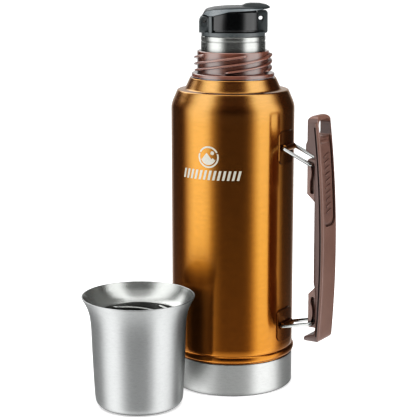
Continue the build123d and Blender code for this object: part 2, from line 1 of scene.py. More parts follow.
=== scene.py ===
import math
import bpy
import bmesh
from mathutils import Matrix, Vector


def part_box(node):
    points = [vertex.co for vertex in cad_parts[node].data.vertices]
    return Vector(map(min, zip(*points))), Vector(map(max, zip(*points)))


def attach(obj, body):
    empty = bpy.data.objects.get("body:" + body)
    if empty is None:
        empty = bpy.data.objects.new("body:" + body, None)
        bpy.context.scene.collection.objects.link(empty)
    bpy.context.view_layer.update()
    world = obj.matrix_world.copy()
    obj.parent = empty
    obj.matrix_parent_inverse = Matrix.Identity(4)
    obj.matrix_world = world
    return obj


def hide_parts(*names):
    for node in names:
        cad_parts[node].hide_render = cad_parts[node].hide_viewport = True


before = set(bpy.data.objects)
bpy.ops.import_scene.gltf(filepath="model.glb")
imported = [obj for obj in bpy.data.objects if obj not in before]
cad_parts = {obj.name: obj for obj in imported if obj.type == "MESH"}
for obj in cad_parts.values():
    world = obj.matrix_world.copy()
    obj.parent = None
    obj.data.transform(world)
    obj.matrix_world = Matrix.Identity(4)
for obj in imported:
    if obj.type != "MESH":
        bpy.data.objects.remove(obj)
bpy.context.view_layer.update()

C = bpy.context
MM = 0.001
ON_AXIS = 1e-4  # radius below which a ring is one vertex, mm
WELD = 1e-6  # vertices closer than this become one, m


# ------------------------ mesh helpers
def new_object(name, data):
    ob = bpy.data.objects.new(name, data)
    C.scene.collection.objects.link(ob)
    return ob


def raw_object(name, verts, faces, sharp):
    """New object from vertices in metres and faces."""
    me = bpy.data.meshes.new(name)
    me.from_pydata(verts, [], faces)
    me.update()
    smooth_mesh(me, sharp)
    return new_object(name, me)


def arc_corner(p0, p1, p2, r, n):
    """Fillet of radius r at p1 between p0 and p2, kept within half of either run."""
    a = Vector(p0) - Vector(p1)
    b = Vector(p2) - Vector(p1)
    longest = 0.49 * min(a.length, b.length)
    a.normalize()
    b.normalize()
    ang = a.angle(b)
    if ang > math.pi - 1e-3:
        return [tuple(p1)]
    t = min(r / math.tan(ang / 2), longest)
    r = t * math.tan(ang / 2)
    s = Vector(p1) + a * t
    e = Vector(p1) + b * t
    mid = (a + b).normalized()
    c = Vector(p1) + mid * (r / math.sin(ang / 2))
    v0, v1 = s - c, e - c
    tot = v0.angle(v1)
    out = []
    for i in range(n + 1):
        k = i / n
        w0 = math.sin((1 - k) * tot) / math.sin(tot)
        w1 = math.sin(k * tot) / math.sin(tot)
        out.append(tuple(c + v0 * w0 + v1 * w1))
    return out


def rounded_outline(points, n):
    """Closed outline from (a, b, corner radius) points; no radius means a sharp corner."""
    out = []
    m = len(points)
    for i, p in enumerate(points):
        if len(p) < 3 or p[2] <= 0:
            out.append(tuple(p[:2]))
        else:
            out += arc_corner(points[i - 1][:2], p[:2], points[(i + 1) % m][:2], p[2], n)
    return out


def profile(points, seg, n=5):
    """Closed outline from (r, z, corner radius) points; runs are divided at about seg mm."""
    out = rounded_outline(points, n)
    dense = []
    for a, b in zip(out, out[1:] + out[:1]):
        d = math.hypot(b[0] - a[0], b[1] - a[1])
        steps = max(1, int(d / seg))
        for j in range(steps):
            t = j / steps
            dense.append((a[0] + (b[0] - a[0]) * t, a[1] + (b[1] - a[1]) * t))
    return dense


def lathe(name, prof, n, centre=(0, 0), sharp=28):
    """Revolve a closed outline of (r, z) millimetres about Z; centre is in metres."""
    verts, faces = [], []
    rings = []
    for r, z in prof:
        if r < ON_AXIS:
            rings.append([len(verts)])
            verts.append((centre[0], centre[1], z * MM))
            continue
        ring = []
        for j in range(n):
            a = 2 * math.pi * j / n
            ring.append(len(verts))
            verts.append((centre[0] + r * MM * math.cos(a), centre[1] + r * MM * math.sin(a), z * MM))
        rings.append(ring)
    for low, high in zip(rings, rings[1:] + rings[:1]):
        if len(low) == 1 and len(high) == 1:
            continue
        for j in range(n):
            k = (j + 1) % n
            if len(low) == 1:
                faces.append((low[0], high[k], high[j]))
            elif len(high) == 1:
                faces.append((low[j], low[k], high[0]))
            else:
                faces.append((low[j], low[k], high[k], high[j]))
    return raw_object(name, verts, faces, sharp)


def smooth_mesh(me, sharp):
    """Weld, turn the faces outwards and shade smooth up to the sharp angle in degrees."""
    bm = bmesh.new()
    bm.from_mesh(me)
    bmesh.ops.remove_doubles(bm, verts=bm.verts, dist=WELD)
    bmesh.ops.recalc_face_normals(bm, faces=bm.faces)
    bm.to_mesh(me)
    bm.free()
    me.polygons.foreach_set("use_smooth", [True] * len(me.polygons))
    me.set_sharp_from_angle(angle=math.radians(sharp))
    me.update()


# ------------------------ node helpers
def link(nt, a, b):
    nt.links.new(a, b)


def put(nd, **vals):
    """Set a node's own settings, or the inputs of these names, with _ for a space."""
    for k, v in vals.items():
        if hasattr(nd, k):
            setattr(nd, k, v)
        else:
            nd.inputs[k.replace("_", " ")].default_value = v


def node(nt, kind, **vals):
    nd = nt.nodes.new("ShaderNode" + kind)
    put(nd, **vals)
    return nd


def output_of(nt):
    return [n for n in nt.nodes if n.bl_idname == "ShaderNodeOutputMaterial"][0]


def multiply_colours(nt, a, b):
    mx = node(nt, "Mix", data_type="RGBA", blend_type="MULTIPLY")
    mx.inputs[0].default_value = 1.0
    link(nt, a, mx.inputs[6])
    link(nt, b, mx.inputs[7])
    return mx.outputs[2]


def blend_shaders(nt, factor, first, second):
    """Mix two shaders into the material's output; factor is a number or a socket."""
    blend = node(nt, "MixShader")
    if isinstance(factor, float):
        blend.inputs[0].default_value = factor
    else:
        link(nt, factor, blend.inputs[0])
    link(nt, first.outputs[0], blend.inputs[1])
    link(nt, second.outputs[0], blend.inputs[2])
    link(nt, blend.outputs[0], output_of(nt).inputs[0])


def material(name):
    mat = bpy.data.materials.new(name)
    mat.use_nodes = True
    nt = mat.node_tree
    nt.nodes.clear()
    bsdf = node(nt, "BsdfPrincipled")
    link(nt, bsdf.outputs[0], node(nt, "OutputMaterial").inputs[0])
    return mat, nt, bsdf


def math_node(nt, op, a, b=None, clamp=False):
    nd = node(nt, "Math", operation=op, use_clamp=clamp)
    for i, v in enumerate((a, b)):
        if v is None:
            continue
        if isinstance(v, (int, float)):
            nd.inputs[i].default_value = v
        else:
            link(nt, v, nd.inputs[i])
    return nd.outputs[0]


def times(nt, a, b):
    return math_node(nt, "MULTIPLY", a, b)


def plus(nt, a, b, clamp=False):
    return math_node(nt, "ADD", a, b, clamp)


def ramp(nt, fac, stops):
    nd = node(nt, "ValToRGB")
    cr = nd.color_ramp
    while len(cr.elements) > 1:
        cr.elements.remove(cr.elements[-1])
    cr.elements[0].position = stops[0][0]
    cr.elements[0].color = stops[0][1]
    for p, c in stops[1:]:
        e = cr.elements.new(p)
        e.color = c
    link(nt, fac, nd.inputs[0])
    return nd.outputs[0]


def grey(v):
    return (v, v, v, 1.0)


def position(nt, centre=(0, 0, 0)):
    """Object-space position with the given centre moved to the origin."""
    tc = node(nt, "TexCoord")
    mp = node(nt, "Mapping", Location=tuple(-c for c in centre))
    link(nt, tc.outputs["Object"], mp.inputs[0])
    return mp.outputs[0]


def noise_tex(nt, vec, scale, detail, rough):
    nd = node(nt, "TexNoise", Scale=scale, Detail=detail, Roughness=rough)
    link(nt, vec, nd.inputs["Vector"])
    return nd.outputs[0]


def bump(nt, height, strength, dist):
    nd = node(nt, "Bump", Strength=strength, Distance=dist)
    link(nt, height, nd.inputs["Height"])
    return nd.outputs[0]


# ------------------------ lofts, ridges and cuts
def loft(loops, closed=False, base=None):
    """Quads between equal-length loops of millimetre points, capped unless closed; may extend base."""
    verts, faces = base if base else ([], [])
    start = len(verts)
    n = len(loops[0])
    for loop in loops:
        verts.extend(tuple(c * MM for c in p) for p in loop)
    m = len(loops)
    for i in range(m if closed else m - 1):
        a, b = start + i * n, start + ((i + 1) % m) * n
        for j in range(n):
            k = (j + 1) % n
            faces.append((a + j, a + k, b + k, b + j))
    if not closed:
        faces.append(tuple(start + j for j in reversed(range(n))))
        faces.append(tuple(start + (m - 1) * n + j for j in range(n)))
    return verts, faces


def mesh_object(name, data, sharp=30):
    return raw_object(name, *data, sharp)


def join(name, *obs):
    """Merge several new meshes into one piece."""
    for ob in C.selected_objects:
        ob.select_set(False)
    for ob in obs:
        ob.select_set(True)
    C.view_layer.objects.active = obs[0]
    bpy.ops.object.join()
    obs[0].name = name
    obs[0].data.name = name
    obs[0].select_set(False)
    return obs[0]


def tube_data(path, radius, n):
    """Round tube along millimetre points, with softly domed ends."""
    dome = (0.35, 0.7, 0.92)  # shares of the radius on the rings of an end
    dome_height = 0.45 * radius
    pts = [Vector(p) for p in path]
    tang = [(pts[min(i + 1, len(pts) - 1)] - pts[max(i - 1, 0)]).normalized() for i in range(len(pts))]
    side = tang[0].orthogonal().normalized()
    frames = []
    for t in tang:
        side = (side - t * side.dot(t)).normalized()
        frames.append((side.copy(), t.cross(side)))

    def ring(centre, axes, r):
        turns = [2 * math.pi * j / n for j in range(n)]
        return [tuple(centre + axes[0] * (r * math.cos(a)) + axes[1] * (r * math.sin(a))) for a in turns]

    loops = [ring(pts[0] - tang[0] * dome_height * math.sqrt(1 - k * k), frames[0], radius * k) for k in dome]
    loops += [ring(p, axes, radius) for p, axes in zip(pts, frames)]
    loops += [ring(pts[-1] + tang[-1] * dome_height * math.sqrt(1 - k * k), frames[-1], radius * k)
              for k in reversed(dome)]
    return loft(loops)


def round_path(points, radius, n):
    """Polyline in space with rounded corners."""
    out = [tuple(points[0])]
    for i in range(1, len(points) - 1):
        out += arc_corner(points[i - 1], points[i], points[i + 1], radius, n)
    out.append(tuple(points[-1]))
    return out


def helix_ridge_data(root, crest, z0, rise, lead, first, foot, top, taper, centre, base):
    """One rounded thread ridge on a cylinder; its ends shrink and sink into the wall."""
    rows = 90
    h = crest - root
    out = 1 if h > 0 else -1
    sink, dip = -0.35 * out, 0.12 * out  # foot inside the wall, and a run-out's extra depth
    half_f, half_t = foot / 2, top / 2
    section = [(-half_f, sink), (-half_f, 0.02 * h), (-(half_f * 0.72 + half_t * 0.28), 0.38 * h),
               (-(half_f * 0.36 + half_t * 0.64), 0.8 * h), (-half_t, 0.96 * h), (-half_t * 0.4, h),
               (half_t * 0.4, h), (half_t, 0.96 * h), (half_f * 0.36 + half_t * 0.64, 0.8 * h),
               (half_f * 0.72 + half_t * 0.28, 0.38 * h), (half_f, 0.02 * h), (half_f, sink)]
    turn = 360.0 * rise / lead
    loops = []
    for i in range(rows + 1):
        # rows crowd together at both ends
        k = 0.5 - 0.5 * math.cos(math.pi * i / rows)
        deg = turn * k
        e = min(deg, turn - deg) / taper
        e = max(0.0, min(1.0, e))
        grow = math.sqrt(max(0.0, 1 - (1 - e) ** 2))
        a = math.radians(first + deg)
        loop = []
        for off, dr in section:
            rr = root + (dr if dr * h < 0 else dr * grow - dip * (1 - grow))
            loop.append((centre[0] + rr * math.cos(a), centre[1] + rr * math.sin(a),
                         z0 + rise * k + off * (0.35 + 0.65 * grow)))
        loops.append(loop)
    return loft(loops, base=base)


def ridges(name, root, crest, z0, rise, lead, starts, foot, top, first=0.0, centre=(0, 0), taper=7.0):
    """A thread's ridges, evenly spaced; angles in degrees, taper is the run-out at each end."""
    data = ([], [])
    for i in range(starts):
        data = helix_ridge_data(root, crest, z0, rise, lead, first + 360.0 * i / starts, foot, top,
                                taper, centre, data)
    return mesh_object(name, data, 40)


def apply_mods(ob, sharp):
    """Bake an object's modifiers into its mesh."""
    dg = C.evaluated_depsgraph_get()
    me = bpy.data.meshes.new_from_object(ob.evaluated_get(dg))
    ob.modifiers.clear()
    ob.data = me
    smooth_mesh(me, sharp)
    return ob


def boolean(ob, tool, op="DIFFERENCE"):
    md = ob.modifiers.new("cut", "BOOLEAN")
    md.operation = op
    md.solver = "EXACT"
    md.object = tool
    apply_mods(ob, 32)
    bpy.data.objects.remove(tool)


def bevel(ob, width, segments=3, angle=30):
    md = ob.modifiers.new("edge", "BEVEL")
    md.width = width * MM
    md.segments = segments
    md.limit_method = "ANGLE"
    md.angle_limit = math.radians(angle)
    md.use_clamp_overlap = True
    return apply_mods(ob, 40)


LID_TURN = math.radians(32.0)  # from +X to the side that the lid's tab is on


def turn_to_lid(points):
    """From the lid's own directions (u towards its tab, v across) to the shared frame."""
    cos_t, sin_t = math.cos(LID_TURN), math.sin(LID_TURN)
    return [(u * cos_t - v * sin_t, u * sin_t + v * cos_t, z) for u, v, z in points]


def side_prism(name, outline, v0, v1, turn=True):
    """Prism between two v planes from a (u, z) outline; turn=False leaves it along X."""
    loops = [[(u, v, z) for u, z in outline] for v in (v0, v1)]
    if turn:
        loops = [turn_to_lid(loop) for loop in loops]
    return mesh_object(name, loft(loops))


def plan_prism(name, outline, z0, z1):
    """Prism between two heights from a (u, v) outline."""
    return mesh_object(name, loft([turn_to_lid([(u, v, z) for u, v in outline]) for z in (z0, z1)]))


def circle_points(cx, cy, r, n=48):
    turns = [2 * math.pi * i / n for i in range(n)]
    return [(cx + r * math.cos(a), cy + r * math.sin(a)) for a in turns]


def smooth_run(points, k):
    """Catmull-Rom through the given (r, z) points, k steps to each span."""
    pts = [Vector(p) for p in points]
    pts = [pts[0] * 2 - pts[1]] + pts + [pts[-1] * 2 - pts[-2]]
    out = []
    for i in range(1, len(pts) - 2):
        p0, p1, p2, p3 = pts[i - 1:i + 3]
        for j in range(k):
            t = j / k
            q = 0.5 * ((2 * p1) + (p2 - p0) * t + (2 * p0 - 5 * p1 + 4 * p2 - p3) * t * t
                       + (3 * p1 - p0 - 3 * p2 + p3) * t ** 3)
            out.append((q.x, q.y))
    out.append(tuple(pts[-2]))
    return out


# ------------------------ materials
SHELL_TALL = 0.25  # m, the height that the copper's painted light falloff runs over
# painted light: the copper darker and redder low down and paler at the top, as the light falls off
COPPER_PAINTED_FALLOFF = [(0.0, (0.54, 0.195, 0.026, 1)), (0.45, (0.62, 0.262, 0.042, 1)),
                    (0.88, (0.65, 0.30, 0.066, 1)), (0.97, (0.66, 0.355, 0.115, 1))]
COPPER_DEEP = (0.60, 0.12, 0.004, 1)


def radial(nt, centre=(0, 0, 0)):
    """Streak coordinates for lathe work: fine along the profile, stretched round the axis."""
    around = 0.012  # radius of the small circle that stands for the whole turn, m
    slope = -0.83  # share of the radius in the run along the profile, for ledges and cones
    pos = position(nt, centre)
    sep = node(nt, "SeparateXYZ")
    link(nt, pos, sep.inputs[0])
    r2 = plus(nt, *[times(nt, sep.outputs[i], sep.outputs[i]) for i in (0, 1)])
    r = math_node(nt, "SQRT", r2)
    run = plus(nt, times(nt, r, slope), sep.outputs[2])
    inv = math_node(nt, "DIVIDE", 1.0, plus(nt, r, 1e-5))
    comb = node(nt, "CombineXYZ")
    for i in (0, 1):
        unit = times(nt, sep.outputs[i], inv)
        link(nt, times(nt, unit, around), comb.inputs[i])
    link(nt, run, comb.inputs[2])
    return comb.outputs[0], pos


def painted_crevice_shade(nt, colour, reach, darkest):
    """Colour darkened in seams and grooves up to reach (m) wide: painted shade where little light gets in."""
    ao = node(nt, "AmbientOcclusion", samples=8, Distance=reach)
    shade = ramp(nt, ao.outputs["AO"], [(0.25, grey(darkest)), (0.93, grey(1.0))])
    return multiply_colours(nt, colour, shade)


def lathe_streaks(nt, coords, fine_scale, broad_scale, octaves=2.0):
    """Fine and broad streaks mixed into one value."""
    fine = noise_tex(nt, coords, fine_scale, octaves, 0.6)
    broad = noise_tex(nt, coords, broad_scale, 3.0, 0.6)
    return plus(nt, times(nt, fine, 0.6), times(nt, broad, 0.4))


def swing(nt, value, amount):
    """A noise value as a swing about zero."""
    return times(nt, math_node(nt, "SUBTRACT", value, 0.5), amount)


def shaded(colour, factor):
    """RGBA of a colour made darker or lighter."""
    return tuple(min(1.0, c * factor) for c in colour) + (1,)


def turned_lines(nt, b, pos):
    """Point the anisotropy across grooves that run round the axis."""
    sep = node(nt, "SeparateXYZ")
    link(nt, pos, sep.inputs[0])
    comb = node(nt, "CombineXYZ")
    link(nt, times(nt, sep.outputs[1], -1.0), comb.inputs[0])
    link(nt, sep.outputs[0], comb.inputs[1])
    unit = node(nt, "VectorMath", operation="NORMALIZE")
    link(nt, comb.outputs[0], unit.inputs[0])
    turn_to = node(nt, "VectorTransform", vector_type="VECTOR", convert_from="OBJECT", convert_to="WORLD")
    link(nt, unit.outputs[0], turn_to.inputs[0])
    link(nt, turn_to.outputs[0], b.inputs["Tangent"])
    put(b, Anisotropic_Rotation=0.25)


def steel(name, tint, rough, streak, aniso, centre=(0, 0, 0), line_bump=0.25, lathe_work=True, metal=1.0,
          painted_dark_reflection=0.0):
    """Stainless steel; lathe_work runs its fine lines round the axis through centre."""
    mat, nt, b = material(name)
    lines_at, pos = radial(nt, centre)
    if lathe_work:
        mix = lathe_streaks(nt, lines_at, 6500.0, 900.0)
    else:
        mix = lathe_streaks(nt, pos, 2500.0, 300.0, 3.0)
    cloud = noise_tex(nt, pos, 28.0, 3.0, 0.5)
    col = ramp(nt, mix, [(0.34, shaded(tint, 1 - 0.17 * streak)), (0.5, shaded(tint, 1)),
                         (0.66, shaded(tint, 1 + 0.07 * streak))])
    if lathe_work:
        # painted shade in the grooves and along the bottom edge
        col = painted_crevice_shade(nt, col, 0.004, 0.1)
    link(nt, col, b.inputs["Base Color"])
    put(b, Metallic=metal)
    rg = plus(nt, times(nt, mix, 0.16 * streak), rough - 0.08 * streak)
    link(nt, plus(nt, rg, swing(nt, cloud, 0.08), clamp=True), b.inputs["Roughness"])
    if aniso:
        put(b, Anisotropic=aniso)
        turned_lines(nt, b, pos)
    link(nt, bump(nt, mix, line_bump, 0.00006), b.inputs["Normal"])
    if painted_dark_reflection:
        # painted reflection: shiny neighbours see a dark stand-in for this piece
        dark_reflection_shader = node(nt, "BsdfPrincipled", Roughness=0.7, Base_Color=(0.05, 0.052, 0.05, 1))
        path = node(nt, "LightPath")
        blend_shaders(nt, times(nt, path.outputs["Is Glossy Ray"], painted_dark_reflection), b, dark_reflection_shader)
    return mat


def copper_paint(name="copper_paint", lathe_work=True, depth=1.0):
    """Copper candy coat over lathe-turned metal; depth below 1 darkens it as painted shade."""
    mat, nt, b = material(name)
    lines_at, pos = radial(nt)
    sep = node(nt, "SeparateXYZ")
    link(nt, pos, sep.inputs[0])
    lines = lathe_streaks(nt, lines_at, 5200.0, 520.0)
    cloud = noise_tex(nt, pos, 16.0, 3.0, 0.5)
    # painted light falloff up the body
    height = math_node(nt, "DIVIDE", sep.outputs[2], SHELL_TALL, clamp=True)
    tint = ramp(nt, height, COPPER_PAINTED_FALLOFF)
    shade = ramp(nt, lines, [(0.36, grey(0.86 * depth)), (0.62, grey(depth))])
    painted = multiply_colours(nt, tint, shade)
    # painted shade in grooves and where parts meet
    link(nt, painted_crevice_shade(nt, painted, 0.0022, 0.1), b.inputs["Base Color"])
    put(b, Metallic=1.0, Coat_Weight=0.3, Coat_Roughness=0.12)
    rg = plus(nt, times(nt, lines, 0.10), 0.17)
    link(nt, plus(nt, rg, swing(nt, cloud, 0.05)), b.inputs["Roughness"])
    if lathe_work:
        put(b, Anisotropic=0.8)
        turned_lines(nt, b, pos)
    link(nt, bump(nt, lines, 0.25, 0.00005), b.inputs["Normal"])
    deep = node(nt, "BsdfPrincipled", Metallic=1.0, Roughness=0.55, Base_Color=COPPER_DEEP)
    blend_shaders(nt, 0.10, b, deep)
    return mat


def plastic(name, colour, rough, grain, grain_scale, vary, coat=0.0, edge=0.0, spec=0.5, coat_ior=1.5):
    """Moulded plastic: fine spark-eroded grain, slight variation, and lighter sharp edges by edge."""
    mat, nt, b = material(name)
    pos = position(nt)
    fine = noise_tex(nt, pos, grain_scale, 3.0, 0.6)
    cloud = noise_tex(nt, pos, 38.0, 4.0, 0.55)
    col = ramp(nt, cloud, [(0.3, shaded(colour, 1 - vary)), (0.7, shaded(colour, 1 + vary))])
    if edge:
        geo = node(nt, "NewGeometry")
        sharp_edge_mask = ramp(nt, geo.outputs["Pointiness"], [(0.5, grey(0)), (0.62, grey(1))])
        mx = node(nt, "Mix", data_type="RGBA", blend_type="MIX")
        link(nt, times(nt, sharp_edge_mask, edge), mx.inputs[0])
        link(nt, col, mx.inputs[6])
        mx.inputs[7].default_value = tuple(min(1, c * 1.6 + 0.02) for c in colour) + (1,)
        col = mx.outputs[2]
    # painted shade in seams and gaps
    link(nt, painted_crevice_shade(nt, col, 0.0028, 0.12), b.inputs["Base Color"])
    rg = plus(nt, times(nt, fine, 0.1), rough - 0.05)
    link(nt, plus(nt, swing(nt, cloud, 0.18), rg, clamp=True), b.inputs["Roughness"])
    put(b, Specular_IOR_Level=spec)
    if coat:
        put(b, Coat_Weight=coat, Coat_Roughness=0.06, Coat_IOR=coat_ior)
    if grain:
        link(nt, bump(nt, fine, grain, 0.00012), b.inputs["Normal"])
    return mat


def mark_silver():
    mat, nt, b = material("mark_silver")
    pos = position(nt)
    fine = noise_tex(nt, pos, 1800.0, 2.0, 0.5)
    col = ramp(nt, fine, [(0.35, (0.54, 0.52, 0.45, 1)), (0.65, (0.68, 0.66, 0.58, 1))])
    link(nt, col, b.inputs["Base Color"])
    put(b, Metallic=0.35, Roughness=0.42)
    link(nt, bump(nt, fine, 0.2, 0.00005), b.inputs["Normal"])
    return mat


cup_lo, cup_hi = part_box("cup_outer")
CUP = ((cup_lo + cup_hi) / 2)[:2]  # the cup's axis, m
CUP_AXIS = (CUP[0], CUP[1], 0)
M = {
    "copper": copper_paint(),
    # the brackets take a darker copy of the copper: painted shade
    "bracket": copper_paint("bracket_copper_painted_shade", lathe_work=False, depth=0.5),
    "brushed": steel("brushed_steel", (0.64, 0.652, 0.64), 0.37, 0.9, 0.92, line_bump=0.35, metal=0.84),
    # the cup's outside also shows its neighbours a painted dark reflection
    "cup_brushed": steel("cup_brushed_steel", (0.60, 0.614, 0.612), 0.45, 0.9, 0.92, CUP_AXIS,
                         line_bump=0.35, metal=0.93, painted_dark_reflection=0.9),
    "bright": steel("bright_steel", (0.60, 0.615, 0.59), 0.19, 0.45, 0.8, line_bump=0.12, metal=0.93),
    "cup_bright": steel("cup_bright_steel", (0.60, 0.618, 0.595), 0.24, 0.5, 0.8, CUP_AXIS,
                        line_bump=0.15, metal=0.88),
    "wire": steel("polished_wire", (0.50, 0.51, 0.50), 0.13, 0.3, 0.0, lathe_work=False, line_bump=0.05),
    "screw": steel("screw_steel", (0.62, 0.62, 0.60), 0.3, 0.6, 0.0, lathe_work=False),
    "collar": plastic("collar_brown", (0.185, 0.070, 0.046), 0.22, 0.1, 1500.0, 0.10, coat=1.0, spec=1.0,
                      coat_ior=1.85),
    "grip": plastic("grip_brown", (0.155, 0.080, 0.060), 0.34, 0.25, 1300.0, 0.08, edge=0.35, spec=0.9),
    # darker copy of the grip's brown for its flanks: painted shade
    "grip_flank_painted_shade": plastic("grip_brown_painted_shade", (0.082, 0.043, 0.035), 0.36, 0.25, 1300.0, 0.08, edge=0.35,
                         spec=0.7),
    "insert": plastic("insert_brown", (0.150, 0.078, 0.060), 0.34, 0.2, 1500.0, 0.08, spec=1.0),
    "black": plastic("black_plastic", (0.020, 0.024, 0.025), 0.24, 0.15, 1500.0, 0.2, edge=0.9, spec=0.55),
    "satin": plastic("satin_black", (0.066, 0.076, 0.078), 0.30, 0.2, 1500.0, 0.2, edge=0.9, spec=1.0),
    # pale grey for the lid's side band: painted highlight on the black lid
    "skirt": plastic("lid_painted_highlight_grey", (0.175, 0.196, 0.207), 0.28, 0.15, 1500.0, 0.15, spec=1.0),
    "gloss": plastic("gloss_black", (0.004, 0.0045, 0.005), 0.1, 0.03, 1500.0, 0.2, coat=0.8),
    "rubber": plastic("dark_rubber", (0.022, 0.022, 0.022), 0.62, 0.3, 900.0, 0.25, spec=0.35),
    "mark": mark_silver(),
}


def finish_piece(ob, body, mat, *replaced):
    """Give a piece its material, body, slot and the CAD nodes that it stands for."""
    ob.data.materials.clear()
    ob.data.materials.append(M[mat])
    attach(ob, body)
    if replaced:
        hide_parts(*replaced)


CAD_LOOK = {
    "outer_shell": "copper", "base_cup": "brushed", "inner_flask": "bright", "vacuum_plug": "screw",
    "getter_puck": "bright", "thread_collar": "collar", "collar_gasket": "collar",
    "upper_bracket": "bracket", "lower_bracket": "bracket", "upper_bail": "wire", "lower_bail": "wire",
    "grip_body": "grip", "grip_back": "grip", "grip_insert": "insert", "grip_screws": "screw",
    "stopper_plug": "black", "stopper_frame": "black", "stopper_top": "gloss", "stopper_core": "black",
    "spout_tube": "black", "stopper_gasket": "rubber", "lid_pin": "bright", "lid": "black",
    "lid_seal": "rubber", "cup_base_disc": "cup_brushed", "cup_outer": "cup_brushed",
    "cup_inner": "cup_bright", "cup_thread": "cup_bright"}
for node_name, look in CAD_LOOK.items():
    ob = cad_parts[node_name]
    if not ob.material_slots:
        ob.data.materials.append(M[look])
    for s in ob.material_slots:
        s.material = M[look]

# ------------------------ flask
BODY_R = 50.0
THREAD_LEAD, THREAD_STARTS, THREAD_RISE = 26.5, 5, 12.2  # collar's and cup's thread
shell_run = smooth_run([
    (50.0, 226.0), (50.0, 229.0), (49.85, 231.4), (49.35, 233.6), (48.45, 236.2), (47.3, 238.9),
    (45.9, 242.2)], 4)
shell_out = [(49.9, 27.2), (49.9, 27.8)] + smooth_run([
    (50.3, 28.15), (51.0, 28.9), (51.24, 30.0), (51.24, 31.2), (51.0, 32.3), (50.2, 33.2)], 3)
shell_out += [(49.7, 33.5), (49.7, 33.95), (49.86, 34.3), (BODY_R, 34.7)]
shell_out += [(BODY_R, 34.7 + i * 4.0) for i in range(1, 48)] + shell_run
shell_out += smooth_run([
    (45.45, 243.2), (45.0, 244.0), (44.3, 244.42), (43.4, 244.55), (41.6, 244.65), (39.9, 244.8),
    (39.1, 245.15), (38.5, 245.9), (36.75, 249.6), (35.3, 252.7), (34.95, 253.6), (34.6, 254.0)], 4)
shell_in = [(26.1, 254.0), (26.1, 252.8), (33.6, 252.8), (37.6, 243.9), (38.9, 243.4), (43.7, 243.2),
            (44.7, 241.9), (46.2, 238.4), (47.3, 235.6), (48.3, 232.6), (48.8, 228.0), (48.8, 27.2)]
shell = lathe("flask_shell", shell_out + shell_in, 256, sharp=38)
finish_piece(shell, "flask", "copper", "outer_shell")
shell.visible_glossy = False  # left out of its neighbours' reflections

base = lathe("flask_base", profile([
    (0.0, 1.6), (43.3, 1.6, 1.0), (45.2, 0.15, 0.8), (48.6, 0.0, 1.0), (49.95, 1.2, 1.2),
    (50.0, 25.6, 0.0), (50.0, 26.6, 0.7), (48.9, 26.6, 0.3), (48.75, 34.0), (47.7, 34.0),
    (47.7, 3.4, 0.8), (46.6, 2.8), (0.0, 2.8)], 3.0, 6), 256, sharp=34)
finish_piece(base, "flask", "brushed", "base_cup")

neck_out = [(0, 9.0), (34.0, 9.0), (41.0, 10.2), (45.2, 13.6), (46.6, 18.0), (46.6, 222.0), (45.9, 228.0),
            (43.6, 233.4), (39.6, 237.8), (34.0, 241.4), (29.0, 244.6), (26.8, 248.2), (26.1, 252.0),
            (26.1, 270.0), (26.1, 282.4), (26.02, 282.8), (25.7, 283.05), (25.65, 283.35),
            (25.7, 283.65), (26.02, 283.9), (26.1, 284.3), (26.1, 286.5), (26.0, 286.95), (25.75, 287.18)]
neck_in = [(25.25, 287.18), (25.0, 286.95), (24.9, 286.5), (24.9, 270.0), (24.9, 252.0), (25.6, 247.8),
           (28.1, 243.8), (33.4, 240.4), (39.0, 236.9), (42.8, 232.7), (44.9, 227.6), (45.6, 222.0),
           (45.6, 18.2), (44.3, 14.2), (40.6, 11.2), (34.0, 10.0), (0, 10.0)]
liner = lathe("flask_liner", profile(neck_out + neck_in, 6.0), 200, sharp=34)
neck_thread = ridges("liner_thread", 24.9, 23.5, 268.6, 8.0, 8.0, 2, 1.5, 0.7, taper=14)
liner = join("flask_liner", liner, neck_thread)
finish_piece(liner, "flask", "bright", "inner_flask")

collar = lathe("collar", profile([
    (26.1, 254.8), (33.2, 254.8, 0.3), (33.5, 255.2, 0.3), (33.5, 257.4, 0.5), (32.9, 257.8, 0.3),
    (29.6, 257.8, 0.6), (29.0, 258.6, 0.6), (29.0, 275.0, 0.4), (28.6, 275.5, 0.4), (26.6, 275.5, 0.3),
    (26.1, 275.0)], 1.6, 5), 220)
collar_thread = ridges("collar_ridges", 29.0, 31.65, 259.7, THREAD_RISE + 1.0, THREAD_LEAD, THREAD_STARTS,
                       2.7, 0.95, first=-72)
collar = join("collar", collar, collar_thread)
finish_piece(collar, "flask", "collar", "thread_collar")


# ------------------------ wire bails
WIRE_R = 1.5
BAIL_HALF, TIP_Y, PIVOT_X, BEND_R = 10.0, 5.3, 52.0, 2.3


def bail(name, pivot_z, tip_x, tip_z, body, node_name):
    """Bent wire through the bracket at pivot_z, with both tips turned inwards in the grip."""
    path = round_path([
        (tip_x, TIP_Y, tip_z), (tip_x, BAIL_HALF, tip_z), (PIVOT_X, BAIL_HALF, pivot_z),
        (PIVOT_X, -BAIL_HALF, pivot_z), (tip_x, -BAIL_HALF, tip_z), (tip_x, -TIP_Y, tip_z)], BEND_R, 9)
    ob = mesh_object(name, tube_data(path, WIRE_R, 28), 50)
    finish_piece(ob, body, "wire", node_name)


bail("upper_bail_wire", 201.0, 77.5, 190.0, "upper_wire", "upper_bail")
bail("lower_bail_wire", 55.0, 79.5, 61.5, "lower_wire", "lower_bail")

# ------------------------ grip
GRIP_HALF, GRIP_EDGE, FLANK_Y = 12.0, 1.7, 9.9
FACE_TOP, FACE_MID, FACE_LOW = (82.7, 228.8), (90.1, 122.0), (87.2, 46.6)


